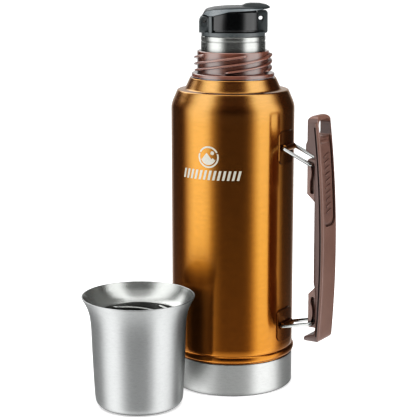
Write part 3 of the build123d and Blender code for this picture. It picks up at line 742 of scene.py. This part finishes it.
def circle_through(p, q, r):
    """Centre and radius of the circle through three points."""
    ax, ay, bx, by, cx, cy = *p, *q, *r
    d = 2 * (ax * (by - cy) + bx * (cy - ay) + cx * (ay - by))
    aa, bb, cc = ax * ax + ay * ay, bx * bx + by * by, cx * cx + cy * cy
    x = (aa * (by - cy) + bb * (cy - ay) + cc * (ay - by)) / d
    y = (aa * (cx - bx) + bb * (ax - cx) + cc * (bx - ax)) / d
    return (x, y), math.hypot(ax - x, ay - y)


FACE_C, FACE_R = circle_through(FACE_TOP, FACE_MID, FACE_LOW)


def face_x(z):
    """Outer face of the grip at a height."""
    return FACE_C[0] + math.sqrt(FACE_R ** 2 - (z - FACE_C[1]) ** 2)


def inset(points, d):
    """Closed outline moved inwards by d; the outline runs anticlockwise."""
    out = []
    m = len(points)
    for k in range(m):
        a, b, c = Vector(points[k - 1]), Vector(points[k]), Vector(points[(k + 1) % m])
        t0, t1 = (b - a).normalized(), (c - b).normalized()
        n = Vector((-(t0.y + t1.y), t0.x + t1.x)).normalized()
        lean = max(0.5, n.dot(Vector((-t1.y, t1.x))))
        out.append(tuple(b + n * (d / lean)))
    return out


def signed_area(points):
    return 0.5 * sum(a[0] * b[1] - b[0] * a[1] for a, b in zip(points, points[1:] + points[:1]))


face_heights = [222.0 - 6.8 * i for i in range(25)]
grip_side = rounded_outline([
    (*FACE_LOW, 5.5), (73.4, 46.6, 1.9), (73.4, 50.8, 1.9), (83.3, 53.6, 3.5), (83.3, 88.0, 8.0),
    (81.5, 96.0, 8.0), (81.0, 197.2, 2.5), (73.0, 201.2, 1.9), (73.0, 206.4, 1.9), (74.2, 209.0, 1.9),
    (74.2, 228.8, 4.2), (*FACE_TOP, 4.4)] + [(face_x(z), z) for z in face_heights + [54.5]], 6)
if signed_area(grip_side) < 0:
    grip_side.reverse()
edge_steps = [(GRIP_EDGE * (1 - math.sin(a)), GRIP_HALF - GRIP_EDGE * (1 - math.cos(a)))
              for a in [math.radians(18 * i) for i in range(6)]]
loops = [[(x, -y, z) for x, z in inset(grip_side, d)] for d, y in edge_steps]
loops += [[(x, y, z) for x, z in inset(grip_side, d)] for d, y in reversed(edge_steps)]
grip = mesh_object("grip_shell", loft(loops))


def face_loop(width, low_z, high_z, corner):
    """Function giving a rounded rectangle that follows the grip's face: loop(depth, scale, widen)."""
    half, mid = width / 2, (low_z + high_z) / 2
    ring = rounded_outline([(-half, low_z, corner), (half, low_z, corner), (half, high_z, corner),
                            (-half, high_z, corner)], 7)
    dense = []
    for a, b in zip(ring, ring[1:] + ring[:1]):
        steps = max(1, int(abs(b[1] - a[1]) / 8))
        dense += [(a[0] + (b[0] - a[0]) * i / steps, a[1] + (b[1] - a[1]) * i / steps) for i in range(steps)]

    def loop(depth, scale, widen=0.0):
        points = [(y * (scale + widen / half), mid + (z - mid) * scale) for y, z in dense]
        return [(face_x(z) - depth, y, z) for y, z in points]
    return loop


CENTRE_OUT = (0.02, 0.5, 1.0)  # scales of the rings that fill a flat end


def face_tool(name, width, low_z, high_z, corner, depth, flare=0.0):
    """Cutting tool from depth below the grip's face to well above it."""
    loop = face_loop(width, low_z, high_z, corner)
    rings = [loop(depth, k, flare * k) for k in CENTRE_OUT] + [loop(-4.0, k) for k in reversed(CENTRE_OUT)]
    return mesh_object(name, loft(rings))


# rounded shape from the front, recess for the inlay, and hanging slot
front = rounded_outline([
    (-12.2, 46.4, 5.0), (12.2, 46.4, 5.0), (12.2, 229.0, 8.0), (-12.2, 229.0, 8.0)], 12)
silhouette = mesh_object("front", loft([[(x, y, z) for y, z in front] for x in (60.0, 100.0)]))
boolean(grip, silhouette, "INTERSECT")
boolean(grip, face_tool("recess", 19.0, 141.0, 225.6, 6.0, 1.9))
boolean(grip, face_tool("hang", 19.0, 210.6, 225.6, 4.5, 16.0, flare=1.6))
# pocket on the inner side that the grip's back piece lies in
back_edge = [(83.3, 57.6), (83.3, 88.0), (81.5, 96.0), (81.0, 194.6)]
pocket = [(x - 2.0, z) for x, z in back_edge] + [(x + 1.8, z) for x, z in reversed(back_edge)]
boolean(grip, side_prism("pocket", pocket, -8.0, 8.0, turn=False))
# seam down each flank, close behind the outer face
SEAM_NEAR, SEAM_MID, SEAM_FAR = 2.0, 2.6, 3.3  # depths below the face
heights = [52.0 + 8.0 * i for i in range(22)]
for side in (1, -1):
    seam = [(face_x(z) - SEAM_FAR, z) for z in heights]
    seam += [(face_x(z) - SEAM_NEAR, z) for z in reversed(heights)]
    if side > 0:
        seam.reverse()
    boolean(grip, side_prism("seam", seam, side * 11.0, side * 13.0, turn=False))
smooth_mesh(grip.data, 32)
finish_piece(grip, "grip", "grip", "grip_body")
# painted shade: the flanks behind the seam take a darker copy of the grip's brown
grip.data.materials.append(M["grip_flank_painted_shade"])
for face in grip.data.polygons:
    x, y, z = face.center / MM
    if abs(y) > FLANK_Y and x < face_x(z) - SEAM_MID:
        face.material_index = 1

insert_loop = face_loop(16.6, 142.2, 209.6, 5.0)
insert_rings = [insert_loop(1.88, k) for k in CENTRE_OUT]
insert_rings += [insert_loop(depth, k) for depth, k in (
    (1.7, 1.0), (1.35, 0.985), (1.12, 0.96), (1.02, 0.92), (1.0, 0.86), (1.0, 0.5), (1.0, 0.02))]
insert_plate = mesh_object("insert_plate", loft(insert_rings), 28)
roller = side_prism("roller", circle_points(82.6, 207.6, 1.9, 36), -6.5, 6.5, turn=False)
bevel(roller, 0.3, 3, 40)
RIB_HALF, RIB_LEAN, RIB_TALL, RIB_PITCH = 4.3, 2.4, 1.6, 4.9
ribs = []
for i in range(10):
    z0 = 151.0 + RIB_PITCH * i
    bar = [(-RIB_HALF, z0), (RIB_HALF, z0 + RIB_LEAN), (RIB_HALF, z0 + RIB_LEAN + RIB_TALL),
           (-RIB_HALF, z0 + RIB_TALL)]
    loops = [[(face_x(z) - depth, y * k, z) for y, z in bar] for depth, k in ((1.1, 1.0), (0.35, 0.9))]
    ribs.append(bevel(mesh_object("rib", loft(loops)), 0.12, 2))
insert_piece = join("grip_inlay", insert_plate, roller, *ribs)
finish_piece(insert_piece, "grip", "insert", "grip_insert")

# ------------------------ stopper frame
HINGE_U, HINGE_Z, PIN_R = -23.0, 299.0, 1.2
EYE_U, EYE_Z, EYE_R = 21.8, 301.4, 1.6
EAR_R, EAR_IN, EAR_OUT = 4.4, 6.8, 10.8


def polar(r, degrees):
    """Point (u, v) at an angle from the hinge side."""
    a = math.pi - math.radians(degrees)
    return (r * math.cos(a), r * math.sin(a))


frame_ring = lathe("stopper_cage", profile([
    (21.3, 288.0), (25.3, 288.0), (25.4, 287.55), (25.6, 287.6, 0.1), (25.6, 290.6, 0.45),
    (21.3, 290.6, 0.3)], 1.0, 5), 200)
posts = []
for side in (1, -1):
    sweep = [side * (47 - i) for i in range(9)][::side]
    outline = [polar(25.6, d) for d in sweep] + [polar(22.4, d) for d in reversed(sweep)]
    posts.append(bevel(plan_prism("post", outline, 290.3, 303.0), 0.45))
ears = []
for side in (1, -1):
    outline = [(HINGE_U + EAR_R * math.cos(math.radians(a)), HINGE_Z + EAR_R * math.sin(math.radians(a)))
               for a in range(0, 181, 9)] + [(HINGE_U - EAR_R, 290.2), (HINGE_U + EAR_R, 290.2)]
    ear = side_prism("ear", outline, side * EAR_IN, side * EAR_OUT)
    oval = rounded_outline([(HINGE_U - 2.5, 294.2, 2.3), (HINGE_U + 2.5, 294.2, 2.3),
                            (HINGE_U + 2.5, 302.6, 2.3), (HINGE_U - 2.5, 302.6, 2.3)], 8)
    bore = circle_points(HINGE_U, HINGE_Z, PIN_R + 0.02, 32)
    boolean(ear, side_prism("oval", oval, side * 10.0, side * 12.0))
    boolean(ear, side_prism("bore", bore, side * 6.0, side * 12.0))
    ears.append(bevel(ear, 0.4, 3, 40))
lug = side_prism("lug", rounded_outline([
    (19.1, 289.5, 0.8), (27.5, 289.5, 2.0), (27.5, 307.5, 2.2), (19.1, 307.5, 1.4)], 7), -4.2, 4.2)
for side in (1, -1):
    boolean(lug, side_prism("ring", circle_points(EYE_U, EYE_Z, EYE_R + 0.95), side * 3.85, side * 5.0))
boolean(lug, side_prism("eye", circle_points(EYE_U, EYE_Z, EYE_R, 40), -8.0, 8.0))
bevel(lug, 0.5, 3, 40)
cage = join("stopper_cage", frame_ring, *posts, *ears, lug)
finish_piece(cage, "stopper", "satin", "stopper_frame")

# gloss drum inside the frame
drum = lathe("stopper_drum", profile([
    (0, 300.8), (22.4, 300.8), (22.4, 290.9), (23.5, 290.9), (23.5, 292.1), (24.9, 292.3, 0.5),
    (24.9, 306.6, 0.5), (22.9, 306.6, 0.3), (22.9, 302.4), (0, 302.4)], 30.0, 4), 180)
slant = [(-17.0, 280), (19.3, 280), (19.3, 320), (-3.5, 320), (-3.5, 306.6), (-17.0, 302.8)]
boolean(drum, side_prism("slant", slant, -30, 30), "INTERSECT")
for side in (1, -1):
    # the wall stops short of the post, which leaves the dark gap beside it
    wedge = [polar(22.3, side * d) for d in (50.2, 47, 44, 40, 36.6)]
    wedge += [polar(40, side * d) for d in (36.6, 43, 50.2)]
    boolean(drum, plan_prism("wedge", wedge[::side], 280, 320))
boolean(drum, plan_prism("spout_hole", circle_points(11.0, 0, 5.0), 296, 310))
boolean(drum, plan_prism("vent_hole", circle_points(-9.0, 0, 1.6, 32), 296, 310))
bevel(drum, 0.3, 2, 40)
finish_piece(drum, "stopper", "gloss", "stopper_top")

# ------------------------ flip lid
LID_TOP = [(-26, 303.5), (-23.9, 305.6), (-22.8, 307.4), (-21.2, 308.7), (-15.0, 310.0), (-6.0, 310.8),
           (4.0, 311.1), (14.0, 310.9), (25.6, 310.0)]
LID_LOW = [(-26, 302.9), (-16.9, 303.2), (-3.3, 307.0), (8.0, 307.4), (25.6, 308.2)]
LID_CROWN = 0.0009  # fall of the top across the lid, mm per mm squared
LID_SIDES = 180
LID_SKIN, HOLLOW_TOP = 1.4, 308.5
EAR_CLEAR = 0.55  # between the lid's edge and the frame's ears


def along(table, u):
    """Height at u on a straight-line table of (u, z)."""
    for (a, za), (b, zb) in zip(table, table[1:]):
        if u <= b:
            k = max(0.0, (u - a) / (b - a))
            return za + (zb - za) * k
    return table[-1][1]


def lid_low(u, v):
    """Lower edge of the lid, raised where it passes over the frame's ears."""
    z = along(LID_LOW, u)
    if EAR_IN - 0.5 < abs(v) < 17.2 and u < -17.5:
        d = (EAR_R + EAR_CLEAR) ** 2 - (u - HINGE_U) ** 2
        if d > 0:
            z = max(z, HINGE_Z + math.sqrt(d))
    return z


def lid_ceiling(u, v):
    """Inside of the lid's top; the lid is solid beside the hinge."""
    return lid_low(u, v) + 0.02 if u < -15.5 else min(HOLLOW_TOP, along(LID_TOP, u) - LID_SKIN)


def lid_ring(r, rule, off, wall):
    """Ring of the lid at a radius, at an offset from its ceiling, lower edge or top."""
    loop = []
    for i in range(LID_SIDES):
        a = 2 * math.pi * i / LID_SIDES
        u, v = r * math.cos(a), r * math.sin(a)
        low, up = lid_low(u, v), along(LID_TOP, u) - LID_CROWN * v * v
        if rule == "ceiling":
            z = max(lid_ceiling(u, v) + off, low)
        elif rule == "low":
            z = low + off
        else:
            z = max(up + off, low + wall)
        loop.append((u, v, z))
    return turn_to_lid(loop)


LID_RINGS = [
    (0.4, "ceiling", 0), (8, "ceiling", 0), (15, "ceiling", 0), (20.6, "ceiling", 0), (21.4, "ceiling", -0.2),
    (21.6, "low", 0.0), (24.7, "low", 0.0), (24.95, "low", 0.08), (25.0, "low", 0.3), (25.0, "top", -1.1),
    (24.95, "top", -0.8), (24.7, "top", -0.45), (24.2, "top", -0.2), (23.4, "top", -0.04), (21.0, "top", 0),
    (17.0, "top", 0), (12.0, "top", 0), (6.0, "top", 0), (0.4, "top", 0)]
lid_cap = mesh_object("flip_lid", loft([lid_ring(*row, 0.6) for row in LID_RINGS]), 38)
tab = side_prism("tab", [
    (5.5, 310.2), (6.5, 311.1), (10.5, 312.9), (14.0, 313.28), (21.5, 313.1), (26.5, 312.0), (29.15, 310.4),
    (28.7, 309.5), (26.4, 308.8), (19.5, 308.3), (5.5, 308.6)], -9.0, 9.0)
for side in (1, -1):
    facet = [(side * 9.4, 308.0), (side * 9.4, 315.0), (side * 5.6, 315.0), (side * 9.05, 309.6)][::side]
    loops = [turn_to_lid([(u, v, z) for v, z in facet]) for u in (0.0, 32.0)]
    boolean(tab, mesh_object("facet", loft(loops)))
bevel(tab, 0.45, 3, 25)
KNUCKLE_R = 3.4
under = [math.radians(a) for a in range(180, 361, 10)]
knuckle = side_prism("knuckle", [
    (HINGE_U + KNUCKLE_R * math.cos(a), HINGE_Z + KNUCKLE_R * math.sin(a)) for a in under] + [
    (-18.8, 303.4), (-18.6, 306.0), (-22.0, 307.2), (-24.4, 303.8)], -6.4, 6.4)
boolean(knuckle, side_prism("bore", circle_points(HINGE_U, HINGE_Z, PIN_R + 0.06, 32), -8.0, 8.0))
bevel(knuckle, 0.35)
# painted highlight: pale band round the lid's side
SKIRT_RINGS = [(24.7, "low", 0.45), (25.12, "low", 0.3), (25.3, "low", 0.45), (25.3, "top", -1.35),
               (25.12, "top", -1.15), (24.7, "top", -1.2)]
skirt = mesh_object("lid_skirt", loft([lid_ring(*row, 0.75) for row in SKIRT_RINGS], closed=True), 38)
finish_piece(skirt, "flip_lid", "skirt")
lid_cap = join("flip_lid", lid_cap, tab, knuckle)
finish_piece(lid_cap, "flip_lid", "black", "lid")

# ------------------------ cup
cup_out = [(27.5, 0.2), (28.6, 0.02)] + smooth_run([
    (29.4, 0.06), (31.2, 0.6), (33.2, 2.1), (34.6, 4.5), (35.15, 7.8), (35.5, 14.0), (35.9, 21.0),
    (36.25, 29.0), (36.6, 38.0), (36.87, 45.0), (37.1, 52.0), (37.3, 58.0), (37.5, 63.5), (37.9, 69.0),
    (38.8, 74.8), (40.3, 79.8), (42.0, 83.6), (43.7, 86.7), (44.5, 87.9)], 4)[:-1]
cup_out += [(44.62, 88.25), (44.6, 88.65), (44.35, 88.92), (44.0, 88.98), (43.6, 88.8)]
cup_out_in = [(42.9, 87.2), (41.1, 84.2), (39.3, 80.4), (37.8, 75.3), (36.9, 69.2), (36.4, 62.0),
              (36.1, 52.0), (35.6, 38.0), (34.9, 21.0), (34.2, 7.7), (33.8, 4.9), (32.9, 3.0), (31.0, 1.8),
              (27.5, 1.4)]
cup = lathe("cup_wall", cup_out + cup_out_in, 240, CUP, 38)
finish_piece(cup, "cup", "cup_brushed", "cup_outer")

cup_in = smooth_run([
    (43.6, 88.8), (42.3, 86.6), (40.0, 82.8), (36.6, 78.4), (34.2, 76.3), (32.7, 75.35)], 4)
cup_in += [(32.35, 75.15), (32.15, 74.9), (32.1, 74.5), (32.1, 66.0), (32.1, 58.0), (31.9, 57.0),
           (31.4, 55.6)]
cup_in += smooth_run([
    (31.3, 50.0), (31.1, 36.0), (30.9, 20.0), (29.8, 10.0), (26.5, 6.4), (20.0, 5.2), (10.0, 5.02)], 4)
cup_in += [(0, 5.0)]
cup_in_out = [(0, 4.2), (20.2, 4.4), (27.0, 5.7), (30.5, 9.6), (31.7, 20.0), (32.2, 55.3), (32.9, 57.8),
              (32.9, 74.3), (34.4, 75.3), (36.9, 77.5), (40.2, 82.3), (41.1, 84.2), (42.9, 87.2)]
bowl = lathe("cup_bowl", cup_in + cup_in_out, 240, CUP, 38)
finish_piece(bowl, "cup", "cup_bright", "cup_inner")

sleeve = lathe("cup_thread_ring", profile([
    (32.08, 58.4), (32.08, 74.9), (31.9, 75.1, 0.1), (31.4, 74.9, 0.2), (31.4, 58.8, 0.2)], 1.5, 4), 200, CUP)
cup_thread = ridges("cup_ridges", 31.4, 29.7, 60.6, THREAD_RISE, THREAD_LEAD, THREAD_STARTS, 2.4, 1.0,
                    centre=(CUP[0] / MM, CUP[1] / MM))
sleeve = join("cup_thread_ring", sleeve, cup_thread)
finish_piece(sleeve, "cup", "cup_bright", "cup_thread")
# the cup's inside is left out of reflections
bowl.visible_glossy = False
sleeve.visible_glossy = False


# ------------------------ printed mark: two hills and a sun
MARK_ANGLE = math.radians(-81.5)
MARK_DEEP, MARK_PROUD = -0.06, 0.09  # its two faces, from the shell's surface
BADGE_U, BADGE_Z = 0.0, 195.8


def on_body(u, v, lift):
    """Point of the mark, u round the body and v up, in millimetres."""
    a = MARK_ANGLE + u / BODY_R
    r = BODY_R + lift
    return (r * math.cos(a), r * math.sin(a), v)


def mark_band(lower, upper, data):
    """Thin raised strip between two equal-length curves of (u, v)."""
    n = len(lower)
    verts, faces = data
    s = len(verts)
    for lift in (MARK_DEEP, MARK_PROUD):
        for row in (lower, upper):
            verts.extend(tuple(c * MM for c in on_body(u, v, lift)) for u, v in row)
    ll, lu, hl, hu = s, s + n, s + 2 * n, s + 3 * n
    for i in range(n - 1):
        faces.append((hl + i, hl + i + 1, hu + i + 1, hu + i))
        faces.append((ll + i, lu + i, lu + i + 1, ll + i + 1))
        faces.append((ll + i, ll + i + 1, hl + i + 1, hl + i))
        faces.append((hu + i, hu + i + 1, lu + i + 1, lu + i))
    faces.append((ll, hl, hu, lu))
    faces.append((ll + n - 1, lu + n - 1, hu + n - 1, hl + n - 1))
    return verts, faces


def badge_arc(r, a0, a1, n):
    """Arc about the badge's centre, in degrees."""
    turns = [math.radians(a0 + (a1 - a0) * i / n) for i in range(n + 1)]
    return [(BADGE_U + r * math.cos(a), BADGE_Z + r * math.sin(a)) for a in turns]


def peak(u):
    """Skyline of two plain hills, from the badge's centre."""
    return max(3.4 - 1.25 * abs(u + 1.5), -0.6 - 0.8 * abs(u - 3.6), -3.6)


# broken ring
data = ([], [])
for a0, a1, n in ((-200, 20, 60), (28, 152, 40)):
    data = mark_band(badge_arc(7.3, a0, a1, n), badge_arc(8.6, a0, a1, n), data)
# small sun, upper right
SUN_R, SUN_OFF = 1.5, 3.3
cols = [-SUN_R + 2 * SUN_R * i / 16 for i in range(17)]
dome = [math.sqrt(max(0.0, SUN_R ** 2 - u * u)) for u in cols]
sun = [[(BADGE_U + SUN_OFF + u, BADGE_Z + SUN_OFF + k * d) for u, d in zip(cols, dome)]
       for k in (-1, 1)]
data = mark_band(*sun, data)
# hills on the lower part of a disc
HILLS_HALF, HILLS_R = 6.0, 6.2
cols = [-HILLS_HALF + 2 * HILLS_HALF * i / 60 for i in range(61)]
floor_line = [(BADGE_U + u, BADGE_Z - math.sqrt(max(0.0, HILLS_R ** 2 - u * u))) for u in cols]
skyline = [(u, max(v + 0.12, BADGE_Z + peak(u - BADGE_U))) for u, v in floor_line]
data = mark_band(floor_line, skyline, data)
# row of slanted strokes
STROKE_LOW, STROKE_HIGH, STROKE_WIDE, STROKE_LEAN, STROKE_PITCH = 177.6, 185.2, 2.0, 1.9, 3.95
for i in range(13):
    u = -24.6 + i * STROKE_PITCH
    data = mark_band([(u, STROKE_LOW), (u + STROKE_WIDE, STROKE_LOW)],
                     [(u + STROKE_LEAN, STROKE_HIGH), (u + STROKE_LEAN + STROKE_WIDE, STROKE_HIGH)], data)
mark = mesh_object("printed_mark", data)
finish_piece(mark, "flask", "mark")

# ------------------------ floor
FLOOR_R = 9.0
floor_me = bpy.data.meshes.new("floor")
fb = bmesh.new()
bmesh.ops.create_circle(fb, cap_ends=True, segments=64, radius=FLOOR_R)
fb.to_mesh(floor_me)
fb.free()
floor = new_object("floor", floor_me)
fmat, fnt, fbsdf = material("floor_pale")
fcol = ramp(fnt, noise_tex(fnt, position(fnt), 3.0, 2.0, 0.5), [(0.3, grey(0.86)), (0.7, grey(0.89))])
link(fnt, fcol, fbsdf.inputs["Base Color"])
put(fbsdf, Roughness=0.9, Specular_IOR_Level=0.0, Emission_Color=(1, 1, 1, 1), Emission_Strength=0.5)
floor_me.materials.append(fmat)
floor.visible_glossy = False

# ------------------------ light: soft panels all round
KEY_AZ = math.radians(-58.0)  # the direction that the panel angles count from
world = bpy.data.worlds.new("studio")
C.scene.world = world
world.use_nodes = True
wn = world.node_tree
wn.nodes.clear()
wout = node(wn, "OutputWorld")
tc = node(wn, "TexCoord")
ws = node(wn, "SeparateXYZ")
link(wn, tc.outputs["Generated"], ws.inputs[0])
az = math_node(wn, "ARCTAN2", ws.outputs[1], ws.outputs[0])
rel = node(wn, "Math", operation="WRAP")
link(wn, math_node(wn, "SUBTRACT", az, KEY_AZ), rel.inputs[0])
rel.inputs[1].default_value = math.pi
rel.inputs[2].default_value = -math.pi
turn = plus(wn, math_node(wn, "DIVIDE", rel.outputs[0], 2 * math.pi), 0.5)
elev = plus(wn, math_node(wn, "DIVIDE", math_node(wn, "ARCSINE", ws.outputs[2]), math.pi), 0.5)


def by_turn(table):
    """Brightness by degrees round from the key direction."""
    return ramp(wn, turn, [(d / 360 + 0.5, grey(v)) for d, v in table])


def by_rise(table):
    """Brightness by degrees above the horizon."""
    return ramp(wn, elev, [(d / 180 + 0.5, grey(v)) for d, v in table])


# two wide panels, left and right of the dark gap in front
PANELS = [(-180, 0.10), (-150, 0.05), (-112, 0.03), (-104, 0.14), (-96, 0.6), (-88, 1.25), (-78, 1.75),
          (-58, 1.75), (-48, 1.35), (-40, 0.55), (-31, 0.16), (-21, 0.02), (18, 0.015), (27, 0.07),
          (34, 0.26), (42, 0.9), (51, 1.65), (80, 1.65), (90, 1.1), (98, 0.35), (108, 0.03), (150, 0.05),
          (180, 0.10)]
PANELS_RISE = [(-90, 0.5), (-40, 0.7), (-20, 0.92), (-12, 1.0), (50, 1.0), (70, 0.6), (90, 0.4)]
# light back from the table below, and the soft ceiling
TABLE_GLOW = [(-90, 1.1), (-50, 1.05), (-32, 0.75), (-24, 0.32), (-19, 0.13), (-15, 0.055), (-11, 0.02),
              (-6, 0.0), (50, 0.0), (62, 0.5), (75, 0.9), (90, 1.0)]
# low light straight behind
BACK = [(-180, 1.0), (-160, 0.9), (-148, 0.0), (148, 0.0), (160, 0.9), (180, 1.0)]
BACK_RISE = [(-90, 0.5), (-20, 0.45), (0, 0.45), (10, 0.45), (24, 0.06), (90, 0.0)]
# high light behind on the left, for the upper edges
RIM = [(-180, 0.0), (-172, 0.2), (-158, 1.0), (-128, 1.0), (-110, 0.0), (180, 0.0)]
RIM_RISE = [(-90, 0.0), (14, 0.0), (26, 2.2), (52, 2.2), (66, 0.0), (90, 0.0)]
total = by_rise(TABLE_GLOW)
for turn_table, rise_table in ((BACK, BACK_RISE), (RIM, RIM_RISE), (PANELS, PANELS_RISE)):
    lit = times(wn, by_turn(turn_table), by_rise(rise_table))
    total = plus(wn, total, lit)
lights = node(wn, "Background", Strength=1.0)
link(wn, total, lights.inputs["Color"])
# the camera itself sees plain white
plain = node(wn, "Background", Color=(1, 1, 1, 1))
rays = node(wn, "LightPath")
pick = node(wn, "MixShader")
link(wn, rays.outputs["Is Camera Ray"], pick.inputs[0])
link(wn, lights.outputs[0], pick.inputs[1])
link(wn, plain.outputs[0], pick.inputs[2])
link(wn, pick.outputs[0], wout.inputs[0])

top_light = bpy.data.lights.new("overhead_soft", "AREA")
top_light.shape = "DISK"
top_light.size = 1.6
top_light.energy = 24.0
lamp = new_object("overhead_soft", top_light)
lamp.location = (0.1, -0.3, 1.7)
lamp.visible_glossy = False

# ------------------------ camera
cam_data = bpy.data.cameras.new("camera")
cam_data.lens = 115.7
cam_data.sensor_width = 36.0
cam = new_object("camera", cam_data)
cam.location = (0.5618, -0.9342, 0.366)
cam.rotation_euler = (math.radians(78.5), 0, math.radians(32.0))
C.scene.camera = cam
view = C.scene.view_settings
view.view_transform = "Standard"
view.use_curve_mapping = True
# slightly deeper shadows
for x, y in ((0.02, 0.011), (0.06, 0.045), (0.16, 0.152), (0.4, 0.425)):
    view.curve_mapping.curves[3].points.new(x, y)
view.curve_mapping.update()
